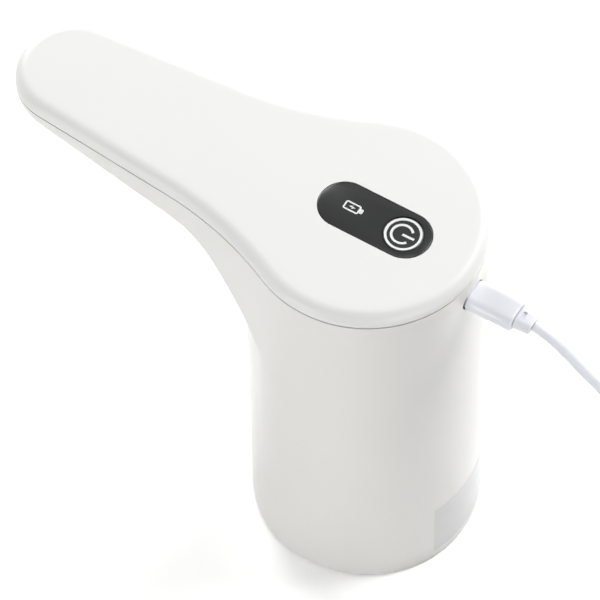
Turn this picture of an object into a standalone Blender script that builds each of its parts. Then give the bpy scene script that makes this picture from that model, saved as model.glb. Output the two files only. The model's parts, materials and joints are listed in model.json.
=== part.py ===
"""Bottled water pump: a round body that stands on a bottle's neck, with a spout arm under one flat lid.

Metres, +Z up. The origin is at the bottom centre of the pump's box, without its charging lead. Everything is
modelled about the body's own axis: +X points to the charging port, and the arm reaches towards -X.
"""

import math

import bmesh
import bpy
from mathutils import Matrix, Vector

# Body and lid
NECK_DIAMETER = 0.0550
COLLAR_DEPTH = 0.0110
BODY_HEIGHT = 0.1525
BODY_TAPER = 0.0015
BASE_ROUND = 0.0015
WALL = 0.0022
SEAM_DROP = 0.0052
SEAM_GAP = 0.0003
LID_ROUND = 0.0048
LID_WALL = 0.0038
LID_THICKNESS = 0.0025
TONGUE_WIDTH = 0.0011
TONGUE_DEPTH = 0.0023
TONGUE_ROOT = 0.0010
TONGUE_STOP = 0.0225

# Spout arm
ARM_LENGTH = 0.1075
TIP_RADIUS = 0.0186
ARM_FLARE = math.radians(4.88)
NECK_BLEND = 0.121
ARM_DEPTH = 0.0133
ARM_SLOPE = math.radians(8)
BRACE_SLOPE = math.radians(47)
BRACE_REACH = 0.048
BRACE_FILLET = 0.030
ARM_ROUND = 0.0055

# Clearances
TOUCH = 0.0003
KEY_GAP = 0.00025
PORT_GAP = 0.0003
CONTACT_GAP = 0.00015
SINK = 0.0005

# Control panel and power key
PANEL_X = 0.00273
PANEL_HALF_SPAN = 0.01089
PANEL_RADIUS = 0.00845
PANEL_THICKNESS = 0.0012
PANEL_LEDGE = 0.0012
PANEL_RECESS = 0.0015
KEY_X = 0.0129
KEY_RADIUS = 0.0064
KEY_DISH = 0.0004
KEY_DISH_RADIUS = 0.0052
KEY_DISH_STEPS = 2
KEY_EDGE = 0.0003
KEY_FLANGE = 0.00055
KEY_FLANGE_THICKNESS = 0.0008
KEY_STEM_RADIUS = 0.0020
KEY_STEM_LENGTH = 0.0022
KEY_TRAVEL = 0.0005

# Control board under the lid
PLUNGER_RADIUS = 0.0015
PLUNGER_LENGTH = 0.0022
PLUNGER_STANDS = 0.0007
SWITCH_SIDE = 0.0060
SWITCH_HEIGHT = 0.0032
BOARD_THICKNESS = 0.0016
CONTROL_BOARD_LENGTH = 0.0500
CONTROL_BOARD_WIDTH = 0.0150
POST_RADIUS = 0.0022
POST_SPAN = 0.0440
POST_MIDDLE = 0.0025
SCREW_RADIUS = 0.0010
SCREW_HEAD_RADIUS = 0.0020
SCREW_HEAD_HEIGHT = 0.0013
SCREW_CROWN_RADIUS = 0.0014
SCREW_CROWN_HEIGHT = 0.00065
SCREW_REACH = 0.0035
LAMP_X = -0.0052
LAMP_SIZE = Vector((0.0032, 0.0016, 0.0010))

# Bottle collar in the base
NECK_FIT = 0.0002
RIB_HEIGHT = 0.0009
RIB_WIDTH = 0.0014
RIB_COUNT = 12
RIB_FOOT = 0.0060
RIB_TOP = 0.0290
COLLAR_HEIGHT = 0.0380
COLLAR_CEILING = 0.0030
COLLAR_WALL = 0.0019
COLLAR_RIM = 0.0030
MOUTH_CHAMFER = 0.0011
MOUTH_CHAMFER_HEIGHT = 0.0030
SEAL_THICKNESS = 0.0015
SEAL_WIDTH = 0.0060

# Inner frame
FRAME_THICKNESS = 0.0030
FRAME_TOP_THICKNESS = 0.0020
FRAME_TOP_DROP = 0.0215
PILLAR_RADIUS = 0.0024
PILLAR_ROOM = 0.0024
PILLAR_ANGLES = (45, -45, 135, -135)
FRAME_SCREW_RING = 0.0160
FRAME_SCREW_ANGLES = (60, 180, 300)
WIRE_HOLE_RADIUS = 0.0060
HOSE_NOTCH_RADIUS = 0.0050

# Pump, motor and intake
PUMP_HEIGHT = 0.0244
PUMP_ROOM = 0.0018
CHAMBER_WALL = 0.0050
CHAMBER_DEPTH = 0.0080
MOTOR_INSET = 0.0028
MOTOR_LENGTH = 0.0310
MOTOR_SHOULDER = 0.0012
ENDBELL_INSET = 0.0032
ENDBELL_HEIGHT = 0.0030
SHAFT_RADIUS = 0.0010
SHAFT_GAP = 0.0003
SHAFT_LENGTH = 0.0280
CAM_ROOM = 0.0025
CAM_OFFSET = 0.0015
CAM_THICKNESS = 0.0050
CAM_FLOOR_GAP = 0.0012
INTAKE_RADIUS = 0.0040
INTAKE_BORE = 0.0026
INTAKE_REACH = 0.0140
INTAKE_SOCKET = 0.0070
BARB_HEIGHT = 0.0006
BARB_PITCH = 0.0035
BARB_RAMP = 0.0028
BARB_BACK = 0.00035
BARB_COUNT = 2

# Battery
CELL_RADIUS = 0.0092
CELL_HEADROOM = 0.0224
CELL_ROOM = 0.0046
CELL_NUB_RADIUS = 0.0028
CELL_NUB_HEIGHT = 0.0012
HOLDER_WALL = 0.0012
HOLDER_FLOOR = 0.0010
HOLDER_OPEN = math.radians(150)
WINDOW_LIP = 0.0020
CONTACT_RADIUS = 0.0050
CONTACT_THICKNESS = 0.0004

# Outlet elbow, hose and spout
HOSE_RADIUS = 0.0032
HOSE_BORE = 0.0023
HOSE_ROOM = 0.0021
HOSE_LIFT = 0.0049
HOSE_STOP = 0.0085
HOSE_CUFF = 0.0050
HOSE_STRAIGHT = 0.0100
HOSE_LEAN = 0.0015
HOSE_BEND_RISE = 0.0090
HOSE_LEVEL_STEP = 0.0060
ELBOW_RADIUS = 0.0020
ELBOW_BORE = 0.0012
ELBOW_HEIGHT = 0.0084
ELBOW_BEND = 0.0050
ELBOW_RISE = 0.0110
SPOUT_RADIUS = 0.0050
SPOUT_BORE = 0.0040
SPOUT_DROP = 0.0080
SPOUT_CAP = 0.0014
WASHER_WIDTH = 0.0020
WASHER_GAP = 0.0004
WASHER_THICKNESS = 0.0008
STUB_RADIUS = 0.0020
STUB_BORE = 0.0012

# Charging port and its board
PORT_DROP = 0.0140
SOCKET_LENGTH = 0.0071
SOCKET_WALL = 0.0003
SOCKET_MOUTH = 0.0007
TONGUE_PLATE = Vector((0.0050, 0.0066, 0.0006))
CHARGE_BOARD_WIDTH = 0.0160
CHARGE_BOARD_BACK = 0.0120
CHARGE_BOARD_EDGE = 0.0340
STANDOFF_RADIUS = 0.0020
CHIP_SIZE = Vector((0.0050, 0.0060, 0.0010))

# Charging lead
PLUG_WIDTH = 0.0108
PLUG_HEIGHT = 0.0064
PLUG_LENGTH = 0.0166
PLUG_SEAT = 0.0007
PLUG_ROUND = 0.0007
BLADE_WIDTH = 0.0083
BLADE_HEIGHT = 0.0024
BLADE_LENGTH = 0.0062
BLADE_WALL = 0.0005
RELIEF_WIDTH = 0.0080
RELIEF_HEIGHT = 0.0054
RELIEF_LENGTH = 0.0053
RELIEF_TAPER = 0.85
RELIEF_DROOP = math.radians(8)
RELIEF_STATIONS = 4
SLOT_LENGTH = 0.0031
SLOT_WIDTH = 0.0010
SLOT_DEPTH = 0.0010
SLOT_PLACE = 0.30
CORD_DIAMETER = 0.0035
CORD_ROUTE = (
    (0.0243, 0.994),
    (0.0280, 0.983),
    (0.0316, 0.965),
    (0.0354, 0.944),
    (0.0391, 0.923),
    (0.0427, 0.902),
    (0.0462, 0.885),
    (0.0508, 0.845),
    (0.0546, 0.780),
    (0.0570, 0.686),
    (0.0584, 0.578),
    (0.0590, 0.448),
    (0.0591, 0.318),
    (0.0591, 0.217),
    (0.0592, 0.129),
    (0.0604, 0.084),
    (0.0639, 0.046),
    (0.0691, 0.022),
)
CORD_STEPS = 3
COIL_OUT = 0.0806
COIL_TURN_RADIUS = 0.01925
COIL_TURNS = 3.5
COIL_CLIMB = 0.5
COIL_SPACING = 0.0040
COIL_POINTS = 24
COIL_TAIL_STEPS = 4
COIL_TAIL = 0.0090
COIL_LEAST_GAP = 0.0004
FAR_WIDTH = 0.0156
FAR_HEIGHT = 0.0082
FAR_LENGTH = 0.0210
FAR_ROUND = 0.0010
FAR_RELIEF_LENGTH = 0.0060
FAR_RELIEF_RADIUS = 0.0028
FAR_RELIEF_TIP = 0.0021
FAR_BLADE = Vector((0.0120, 0.0120, 0.0045))
FAR_BLADE_WALL = 0.0004

# Facets
FRONT_STEPS = 36
BACK_STEPS = 11
FILLET_STEPS = 6
ARM_STEPS = 4
TIP_STEPS = 8
TIP_LEAD = 0.0056
ROUND_STEPS = 4
FOOT_STEPS = 2
EDGE_STEPS = 2
CREASE_ROUNDS = 12
TURNED_STEPS = 28
SMALL_STEPS = 14
COLLAR_STEPS = 36
PILLAR_STEPS = 8
PIPE_SIDES = 10
HOSE_STEPS = 2
ELBOW_STEPS = 4
SMOOTH_ANGLE = math.radians(35)

# Places that follow from the sizes above
BODY_RADIUS = NECK_DIAMETER / 2 + COLLAR_DEPTH
SEAM_Z = BODY_HEIGHT - SEAM_DROP
LID_BASE = SEAM_Z + SEAM_GAP
LID_CEILING = BODY_HEIGHT - LID_THICKNESS
AXIS_X = (ARM_LENGTH + TIP_RADIUS - BODY_RADIUS) / 2
COLLAR_BORE = NECK_DIAMETER / 2 + NECK_FIT + RIB_HEIGHT
FOOT_ROOM = BODY_RADIUS - BODY_TAPER - WALL
PILLAR_RING = FOOT_ROOM - PILLAR_ROOM - PILLAR_RADIUS
HOSE_X = HOSE_ROOM + HOSE_RADIUS - FOOT_ROOM
HOSE_END = ARM_LENGTH - HOSE_STOP
HOLDER_RADIUS = CELL_RADIUS + TOUCH + HOLDER_WALL
CELL_X = FOOT_ROOM - CELL_ROOM - HOLDER_RADIUS
PUMP_EDGES = (HOSE_X + HOSE_RADIUS + HOSE_ROOM, CELL_X - HOLDER_RADIUS - PUMP_ROOM)
PUMP_X = sum(PUMP_EDGES) / 2
PUMP_RADIUS = PUMP_EDGES[1] - PUMP_X
CHAMBER_RADIUS = PUMP_RADIUS - CHAMBER_WALL
CAM_RADIUS = CHAMBER_RADIUS - CAM_ROOM - CAM_OFFSET
MOTOR_RADIUS = PUMP_RADIUS - MOTOR_INSET
ENDBELL_RADIUS = MOTOR_RADIUS - ENDBELL_INSET
FRAME_Z = COLLAR_HEIGHT + TOUCH
FRAME_TOP_Z = BODY_HEIGHT - FRAME_TOP_DROP
SHELF_Z = FRAME_TOP_Z - FRAME_TOP_THICKNESS
DECK_Z = FRAME_Z + FRAME_THICKNESS
PUMP_Z = DECK_Z + TOUCH
ELBOW_Z = PUMP_Z + ELBOW_HEIGHT
CELL_LENGTH = SHELF_Z - PUMP_Z - CELL_HEADROOM
MOTOR_Z = PUMP_Z + PUMP_HEIGHT + TOUCH
CHAMBER_Z = PUMP_Z + PUMP_HEIGHT - CHAMBER_DEPTH
SOCKET_OUTSIDE = Vector((
    SOCKET_LENGTH,
    BLADE_WIDTH + 2 * (CONTACT_GAP + SOCKET_WALL),
    BLADE_HEIGHT + 2 * (CONTACT_GAP + SOCKET_WALL),
))
PORT_Z = BODY_HEIGHT - PORT_DROP
CHARGE_BOARD_Z = PORT_Z - SOCKET_OUTSIDE.z / 2 - TOUCH - BOARD_THICKNESS
KEY_UNDERSIDE = PANEL_THICKNESS + TOUCH + KEY_FLANGE_THICKNESS
PLUNGER_Z = BODY_HEIGHT - KEY_UNDERSIDE - KEY_STEM_LENGTH - TOUCH
SWITCH_TOP = PLUNGER_Z - PLUNGER_STANDS
BOARD_TOP = SWITCH_TOP - SWITCH_HEIGHT - TOUCH
CORD_RADIUS = CORD_DIAMETER / 2
COIL_OUTER_RADIUS = COIL_TURN_RADIUS + COIL_SPACING * COIL_TURNS / 4
COIL_CENTRE = Vector((BODY_RADIUS + COIL_OUT, -COIL_OUTER_RADIUS, CORD_RADIUS))

MATERIALS = {
    "lid_white": ((0.90, 0.90, 0.89), 0.36, 0.0),
    "shell_white": ((0.86, 0.85, 0.83), 0.34, 0.0),
    "panel_black": ((0.050, 0.052, 0.053), 0.22, 0.0),
    "key_black": ((0.055, 0.057, 0.058), 0.20, 0.0),
    "inner_plastic": ((0.62, 0.63, 0.64), 0.50, 0.0),
    "collar_plastic": ((0.80, 0.80, 0.79), 0.45, 0.0),
    "silicone": ((0.78, 0.80, 0.80), 0.55, 0.0),
    "board_green": ((0.030, 0.160, 0.070), 0.45, 0.0),
    "chip_black": ((0.020, 0.020, 0.022), 0.50, 0.0),
    "stainless": ((0.66, 0.66, 0.65), 0.25, 1.0),
    "plated_steel": ((0.60, 0.60, 0.61), 0.32, 1.0),
    "motor_steel": ((0.46, 0.47, 0.48), 0.38, 1.0),
    "cell_wrap": ((0.050, 0.220, 0.420), 0.35, 0.0),
    "lead_white": ((0.84, 0.84, 0.88), 0.42, 0.0),
}


# Scene helpers

def clear_scene():
    for obj in list(bpy.data.objects):
        bpy.data.objects.remove(obj, do_unlink=True)


def finish_of(slot):
    """The named material, made the first time that it is asked for."""
    if slot in bpy.data.materials:
        return bpy.data.materials[slot]
    colour, roughness, metallic = MATERIALS[slot]
    made = bpy.data.materials.new(slot)
    made.use_nodes = True
    shader = made.node_tree.nodes["Principled BSDF"]
    shader.inputs["Base Color"].default_value = (*colour, 1.0)
    shader.inputs["Roughness"].default_value = roughness
    shader.inputs["Metallic"].default_value = metallic
    return made


def solid_from(bm, name):
    """A new object from a closed mesh, its doubles merged and its faces turned outwards."""
    bmesh.ops.remove_doubles(bm, verts=bm.verts, dist=1e-7)
    bmesh.ops.dissolve_degenerate(bm, edges=bm.edges, dist=1e-7)
    bmesh.ops.recalc_face_normals(bm, faces=bm.faces)
    mesh = bpy.data.meshes.new(name)
    bm.to_mesh(mesh)
    bm.free()
    obj = bpy.data.objects.new(name, mesh)
    bpy.context.scene.collection.objects.link(obj)
    return obj


def place(obj, slot, parent, location=(0.0, 0.0, 0.0)):
    """Gives a finished solid its material, its smooth shading and its place under its parent."""
    obj.data.materials.append(finish_of(slot))
    if obj.type == "MESH":
        obj.data.shade_smooth()
        obj.data.set_sharp_from_angle(angle=SMOOTH_ANGLE)
    obj.parent = parent
    obj.location = location
    return obj


def baked(obj):
    """Replaces the object's mesh by the one that its modifiers make."""
    graph = bpy.context.evaluated_depsgraph_get()
    mesh = bpy.data.meshes.new_from_object(obj.evaluated_get(graph))
    obj.modifiers.clear()
    obj.data = mesh
    return obj


def combine(obj, tools, operation):
    for tool in tools:
        boolean = obj.modifiers.new(operation.lower(), "BOOLEAN")
        boolean.operation = operation
        boolean.solver = "EXACT"
        boolean.object = tool
    baked(obj)
    for tool in tools:
        bpy.data.objects.remove(tool, do_unlink=True)
    return obj


def cut(obj, *tools):
    return combine(obj, tools, "DIFFERENCE")


def weld(obj, *tools):
    return combine(obj, tools, "UNION")


def bevelled(obj, width, segments=2):
    bevel = obj.modifiers.new("edge_round", "BEVEL")
    bevel.width = width
    bevel.segments = segments
    bevel.limit_method = "ANGLE"
    return baked(obj)


# Shape helpers

def loft(name, rings, closed=False):
    """A solid through rings of as many points each. The ends are capped, or the last ring joins the first."""
    bm = bmesh.new()
    rows = [[bm.verts.new(point) for point in ring] for ring in rings]
    pairs = list(zip(rows, rows[1:]))
    if closed:
        pairs.append((rows[-1], rows[0]))
    for lower, upper in pairs:
        for k in range(len(lower)):
            after = (k + 1) % len(lower)
            bm.faces.new((lower[k], lower[after], upper[after], upper[k]))
    if not closed:
        bm.faces.new(rows[0])
        bm.faces.new(rows[-1])
    return solid_from(bm, name)


def lathe(name, profile, steps=TURNED_STEPS):
    """A closed (radius, height) outline turned about Z."""
    bm = bmesh.new()
    corners = [bm.verts.new((radius, 0.0, height)) for radius, height in profile]
    pairs = zip(corners, corners[1:] + corners[:1])
    edges = [bm.edges.new((a, b)) for a, b in pairs if a.co.x > 0.0 or b.co.x > 0.0]
    bmesh.ops.spin(
        bm,
        geom=corners + edges,
        cent=(0.0, 0.0, 0.0),
        axis=(0.0, 0.0, 1.0),
        angle=math.tau,
        steps=steps,
        use_merge=True,
    )
    return solid_from(bm, name)


def cylinder(name, radius, bottom, top, centre=(0.0, 0.0), steps=SMALL_STEPS):
    angles = [math.tau * (k + 0.5) / steps for k in range(steps)]
    outline = [(centre[0] + radius * math.cos(a), centre[1] + radius * math.sin(a)) for a in angles]
    return loft(name, [[(x, y, z) for x, y in outline] for z in (bottom, top)])


def block(name, low, high):
    bm = bmesh.new()
    size = Vector(high) - Vector(low)
    middle = (Vector(high) + Vector(low)) / 2
    bmesh.ops.create_cube(bm, size=1.0, matrix=Matrix.Translation(middle) @ Matrix.Diagonal((*size, 1.0)))
    return solid_from(bm, name)


def stadium(half_span, radius, steps=SMALL_STEPS):
    """The outline of a slot with round ends, its long side along the first axis."""
    points = []
    for side in (1, -1):
        for k in range(steps + 1):
            angle = math.pi * (k / steps - 0.5)
            points.append((side * (half_span + radius * math.cos(angle)), side * radius * math.sin(angle)))
    return points


def upright_stadium(name, centre_x, half_span, radius, bottom, top):
    outline = stadium(half_span, radius)
    return loft(name, [[(centre_x + x, y, z) for x, y in outline] for z in (bottom, top)])


def lying_stadium(name, width, height, stations, steps=8):
    """A round-sided bar along X: each station gives its x and the scale of its section there."""
    outline = stadium((width - height) / 2, height / 2, steps)
    return loft(name, [[(x, scale * y, scale * z) for y, z in outline] for x, scale in stations])


def rounded_bar(name, width, height, start, end, edge):
    """A lying stadium whose two ends are rounded off."""
    stations = []
    for k in range(EDGE_STEPS + 1):
        turn = math.pi / 2 * k / EDGE_STEPS
        scale = 1.0 - 2.0 * edge * (1.0 - math.sin(turn)) / height
        stations.append((start + edge * (1.0 - math.cos(turn)), scale))
    stations += [(start + end - x, scale) for x, scale in stations[::-1]]
    return lying_stadium(name, width, height, stations)


def smooth_path(points, steps):
    """Points along a Catmull-Rom curve through the route's own points."""
    route = [Vector(point) for point in points]
    padded = [2 * route[0] - route[1], *route, 2 * route[-1] - route[-2]]
    path = []
    for before, start, end, after in zip(padded, padded[1:], padded[2:], padded[3:]):
        for k in range(steps):
            t = k / steps
            path.append(0.5 * (
                2 * start
                + (end - before) * t
                + (2 * before - 5 * start + 4 * end - after) * t**2
                + (3 * start - before - 3 * end + after) * t**3
            ))
    return [*path, route[-1]]


def section_rings(path, radius, steps):
    """A circle about each point of a path that keeps to the XZ plane, square to the path there."""
    rings = []
    for k, point in enumerate(path):
        along = (path[min(k + 1, len(path) - 1)] - path[max(k - 1, 0)]).normalized()
        across = Vector((0.0, 1.0, 0.0))
        outwards = along.cross(across)
        ring = []
        for j in range(steps):
            angle = math.tau * j / steps
            ring.append(point + radius * (math.cos(angle) * across + math.sin(angle) * outwards))
        rings.append(ring)
    return rings


def pipe(name, path, radius, bore):
    """An open tube with a wall: its outside one way along the path and its bore back again."""
    outside = section_rings(path, radius, PIPE_SIDES)
    inside = section_rings(path, bore, PIPE_SIDES)
    return loft(name, outside + inside[::-1], closed=True)


def tube_curve(name, points, diameter, resolution):
    """A plain round cord along its points, with filled ends."""
    curve = bpy.data.curves.new(name, "CURVE")
    curve.dimensions = "3D"
    curve.bevel_depth = diameter / 2
    curve.bevel_resolution = resolution
    curve.use_fill_caps = True
    spline = curve.splines.new("POLY")
    spline.points.add(len(points) - 1)
    for spot, point in zip(spline.points, points):
        spot.co = (*point, 1.0)
    obj = bpy.data.objects.new(name, curve)
    bpy.context.scene.collection.objects.link(obj)
    return obj


# Plan outline: a round tip, two straight flared sides and a hollow blend into the round body

def blend_circle():
    """Centre of the blend that touches the arm's side and the body, and its angle about the body."""
    side = Vector((math.cos(ARM_FLARE), math.sin(ARM_FLARE)))
    out = Vector((-side.y, side.x))
    start = Vector((-ARM_LENGTH, 0.0)) + (TIP_RADIUS + NECK_BLEND) * out
    along = start.dot(side)
    reach = BODY_RADIUS + NECK_BLEND
    step = -along - math.sqrt(along**2 - start.length_squared + reach**2)
    centre = start + step * side
    return centre, math.atan2(centre.y, centre.x)


BLEND_CENTRE, BLEND_ANGLE = blend_circle()


def half_width(x, inset):
    """Half the width of the arm and its blend at x, for the outline moved inwards by inset."""
    radius = NECK_BLEND + inset
    if x > BLEND_CENTRE.x + radius * math.sin(ARM_FLARE):
        return BLEND_CENTRE.y - math.sqrt(radius**2 - (x - BLEND_CENTRE.x) ** 2)
    return (TIP_RADIUS - inset) / math.cos(ARM_FLARE) + (x + ARM_LENGTH) * math.tan(ARM_FLARE)


def taper_at(z):
    """How far the walls have drawn in at a height, from the seam down."""
    return BODY_TAPER * (SEAM_Z - z) / SEAM_Z


def inner_radius(z):
    return BODY_RADIUS - taper_at(z) - WALL


def front_points(inset):
    """The body's round front, from the port's side to where the blend starts."""
    radius = BODY_RADIUS - inset
    angles = [BLEND_ANGLE * k / (FRONT_STEPS / 2) for k in range(FRONT_STEPS // 2 + 1)]
    return [(radius * math.cos(angle), radius * math.sin(angle)) for angle in angles]


def tip_points(inset):
    """The arm's round tip, from its tangent point to its end."""
    radius = TIP_RADIUS - inset
    first = math.pi / 2 + ARM_FLARE
    angles = [first + (math.pi - first) * k / TIP_STEPS for k in range(TIP_STEPS + 1)]
    return [(-ARM_LENGTH + radius * math.cos(angle), radius * math.sin(angle)) for angle in angles]


def arm_stations(back_x):
    """X of the cross-sections along the free arm, closer together round the brace's fillet."""
    lean = math.sin((ARM_SLOPE + BRACE_SLOPE) / 2)
    fillet_x = -BRACE_REACH - BRACE_FILLET * lean / 2
    last = TIP_LEAD - ARM_LENGTH
    near = [back_x + (fillet_x - back_x) * k / FILLET_STEPS for k in range(1, FILLET_STEPS + 1)]
    far = [fillet_x + (last - fillet_x) * k / ARM_STEPS for k in range(1, ARM_STEPS + 1)]
    return near + far


def underside(x, lift=0.0):
    """Height of the arm's underside at x: a gentle slope, a fillet and the steep brace."""
    tip_z = BODY_HEIGHT - ARM_DEPTH
    corner_z = tip_z - math.tan(ARM_SLOPE) * (ARM_LENGTH - BRACE_REACH)
    lean = (ARM_SLOPE + BRACE_SLOPE) / 2
    away = BRACE_FILLET / math.cos((BRACE_SLOPE - ARM_SLOPE) / 2)
    centre_x = -BRACE_REACH - away * math.sin(lean)
    centre_z = corner_z - away * math.cos(lean)
    radius = BRACE_FILLET + lift
    if x < centre_x + radius * math.sin(ARM_SLOPE):
        return tip_z - math.tan(ARM_SLOPE) * (x + ARM_LENGTH) + lift / math.cos(ARM_SLOPE)
    if x > centre_x + radius * math.sin(BRACE_SLOPE):
        return corner_z - math.tan(BRACE_SLOPE) * (x + BRACE_REACH) + lift / math.cos(BRACE_SLOPE)
    return centre_z + math.sqrt(radius**2 - (x - centre_x) ** 2)


def crease_points(inset):
    """Where the underside meets the round body: (x, y, z), from the blend's edge to the arm's middle."""
    points = []
    for k in range(BACK_STEPS + 1):
        angle = BLEND_ANGLE + (math.pi - BLEND_ANGLE) * k / BACK_STEPS
        z = SEAM_Z / 2
        for _ in range(CREASE_ROUNDS):
            radius = BODY_RADIUS - inset - taper_at(z)
            z = underside(radius * math.cos(angle), inset)
        points.append((radius * math.cos(angle), radius * math.sin(angle), z))
    return points


def plan_ring(inset, z):
    """The whole plan outline at one height."""
    back_x = [BODY_RADIUS * math.cos(angle) for angle in blend_angles()]
    sides = [(x, half_width(x, inset)) for x in back_x + arm_stations(-BODY_RADIUS)]
    half = front_points(inset) + sides + tip_points(inset)
    return [(x, y, z) for x, y in half] + [(x, -y, z) for x, y in half[-2:0:-1]]


def blend_angles():
    return [BLEND_ANGLE + (math.pi - BLEND_ANGLE) * k / BACK_STEPS for k in range(1, BACK_STEPS + 1)]


# Body shell

class Skin:
    """Collects faces whose corners are named by their place, so that shared corners are one vertex."""

    def __init__(self):
        self.bm = bmesh.new()
        self.corners = {}

    def corner(self, point):
        key = tuple(round(value * 1e7) for value in point)
        if key not in self.corners:
            self.corners[key] = self.bm.verts.new(point)
        return self.corners[key]

    def face(self, *points):
        corners = []
        for point in points:
            vertex = self.corner(point)
            if vertex not in corners:
                corners.append(vertex)
        if len(corners) > 2:
            self.bm.faces.new(corners)

    def strip(self, first, second):
        """Faces between two rows of points."""
        for k in range(len(first) - 1):
            self.face(first[k], first[k + 1], second[k + 1], second[k])

    def both_sides(self, first, second):
        self.strip(first, second)
        self.strip(mirrored(first), mirrored(second))


def mirrored(points):
    return [(x, -y, z) for x, y, z in points]


def body_form(name, inset, top, bottom, foot_round):
    """The body and its arm as one closed form, its walls and underside moved inwards by inset."""
    crease = crease_points(inset)
    stations = [x for x, _, _ in crease[1:]]
    stations += arm_stations(stations[-1])
    fall = ARM_ROUND - inset
    start_z = crease[0][2]

    def column(x, y_at, room):
        """One line of points down the arm's wall and round its lower edge."""
        floor = underside(x, inset)
        line = [(x, y_at(inset), top)]
        for k in range(ROUND_STEPS + 1):
            turn = math.pi / 2 * k / ROUND_STEPS
            z = floor + fall * (1 - math.sin(turn))
            drawn_in = taper_at(z) + min(fall, room) * (1 - math.cos(turn))
            line.append((x, y_at(inset + drawn_in), z))
        return line

    def tip_column(step):
        outline = tip_points(inset)[step]
        line = [(*outline, top)]
        for k in range(ROUND_STEPS + 1):
            turn = math.pi / 2 * k / ROUND_STEPS
            inwards = inset + fall * (1 - math.cos(turn))
            x = tip_points(inwards)[step][0]
            z = underside(x, inset) + fall * (1 - math.sin(turn))
            drawn_in = inwards + taper_at(z)
            x, y = tip_points(drawn_in)[step]
            line.append((x, y, min(z, top - SINK)))
        return line

    columns = []
    for step in range(FRONT_STEPS // 2 + 1):
        line = [(*front_points(inset)[step], top)]
        for k in range(ROUND_STEPS + 1):
            z = start_z + fall * (1 - math.sin(math.pi / 2 * k / ROUND_STEPS))
            line.append((*front_points(inset + taper_at(z))[step], z))
        columns.append(line)
    columns[-1][-1] = crease[0]
    for k, x in enumerate(stations):
        if k < BACK_STEPS:
            across = half_width(x, inset + taper_at(crease[k + 1][2])) - crease[k + 1][1]
        else:
            across = half_width(x, inset)
        line = column(x, lambda shift, x=x: half_width(x, shift), across)
        if across <= fall:
            line[-1] = crease[k + 1]
        columns.append(line)
    columns += [tip_column(step) for step in range(TIP_STEPS + 1)]

    skin = Skin()
    for here, after in zip(columns, columns[1:]):
        skin.both_sides(here, after)
    edge = [line[-1] for line in columns]
    beside = edge[FRONT_STEPS // 2 : FRONT_STEPS // 2 + BACK_STEPS + 1]
    beyond = edge[FRONT_STEPS // 2 + BACK_STEPS :]
    skin.both_sides(beside, crease)
    for k in range(len(beyond) - 1):
        near, far = mirrored(beyond[k : k + 2])
        middle = [crease[-1]] if k == 0 else []
        skin.face(beyond[k + 1], beyond[k], *middle, near, far)

    rim = edge[: FRONT_STEPS // 2] + crease
    levels = [rim]
    for k in range(FOOT_STEPS + 1):
        turn = math.pi / 2 * k / FOOT_STEPS
        z = bottom + foot_round * (1 - math.sin(turn))
        radius = BODY_RADIUS - inset - taper_at(z) - foot_round * (1 - math.cos(turn))
        angles = [math.atan2(y, x) for x, y, _ in rim]
        levels.append([(radius * math.cos(angle), radius * math.sin(angle), z) for angle in angles])
        if not foot_round:
            break
    for upper, lower in zip(levels, levels[1:]):
        skin.both_sides(upper, lower)
    skin.face(*levels[-1], *mirrored(levels[-1])[-2:0:-1])
    lid_line = [line[0] for line in columns]
    skin.face(*lid_line, *mirrored(lid_line)[-2:0:-1])
    return solid_from(skin.bm, name)


def port_slot(name, gap):
    """A bar along X through the wall at the charging port, in the shape of the plug with a gap round it."""
    width, height = PLUG_WIDTH + 2 * gap, PLUG_HEIGHT + 2 * gap
    bar = lying_stadium(name, width, height, [(BODY_RADIUS - 3 * WALL, 1.0), (BODY_RADIUS + 3 * WALL, 1.0)])
    bar.data.transform(Matrix.Translation((0.0, 0.0, PORT_Z)))
    return bar


def make_main_housing(parent):
    shell = body_form("main_housing", 0.0, SEAM_Z, 0.0, BASE_ROUND)
    room = body_form("room", WALL, SEAM_Z + WALL, -WALL, 0.0)
    hole_foot = SEAM_Z - 2 * ARM_DEPTH
    spout_hole = cylinder("spout_hole", SPOUT_RADIUS + TOUCH, hole_foot, SEAM_Z, (-ARM_LENGTH, 0.0))
    cut(shell, room)
    cut(shell, spout_hole, port_slot("port_hole", PORT_GAP))
    return place(shell, "shell_white", parent)


# Lid, control panel and power key

def make_top_cover(parent):
    rings = [plan_ring(LID_WALL, LID_CEILING), plan_ring(LID_WALL, LID_BASE), plan_ring(0.0, LID_BASE)]
    for k in range(ROUND_STEPS + 1):
        turn = math.pi / 2 * k / ROUND_STEPS
        inset = LID_ROUND * (1 - math.cos(turn))
        rings.append(plan_ring(inset, BODY_HEIGHT - LID_ROUND * (1 - math.sin(turn))))
    lid = loft("top_cover", rings)
    weld(lid, lid_tongue(), *lid_posts())
    recess = upright_stadium(
        "recess",
        PANEL_X,
        PANEL_HALF_SPAN,
        PANEL_RADIUS + TOUCH,
        BODY_HEIGHT - PANEL_RECESS,
        BODY_HEIGHT + WALL,
    )
    opening = upright_stadium(
        "opening",
        PANEL_X,
        PANEL_HALF_SPAN,
        PANEL_RADIUS - PANEL_LEDGE,
        LID_CEILING - WALL,
        BODY_HEIGHT,
    )
    pilots = [
        cylinder("pilot", SCREW_RADIUS + TOUCH, BOARD_TOP, LID_CEILING - TOUCH, (x, 0.0))
        for x in post_places()
    ]
    cut(lid, recess, opening, *pilots)
    return place(lid, "lid_white", parent)


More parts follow.
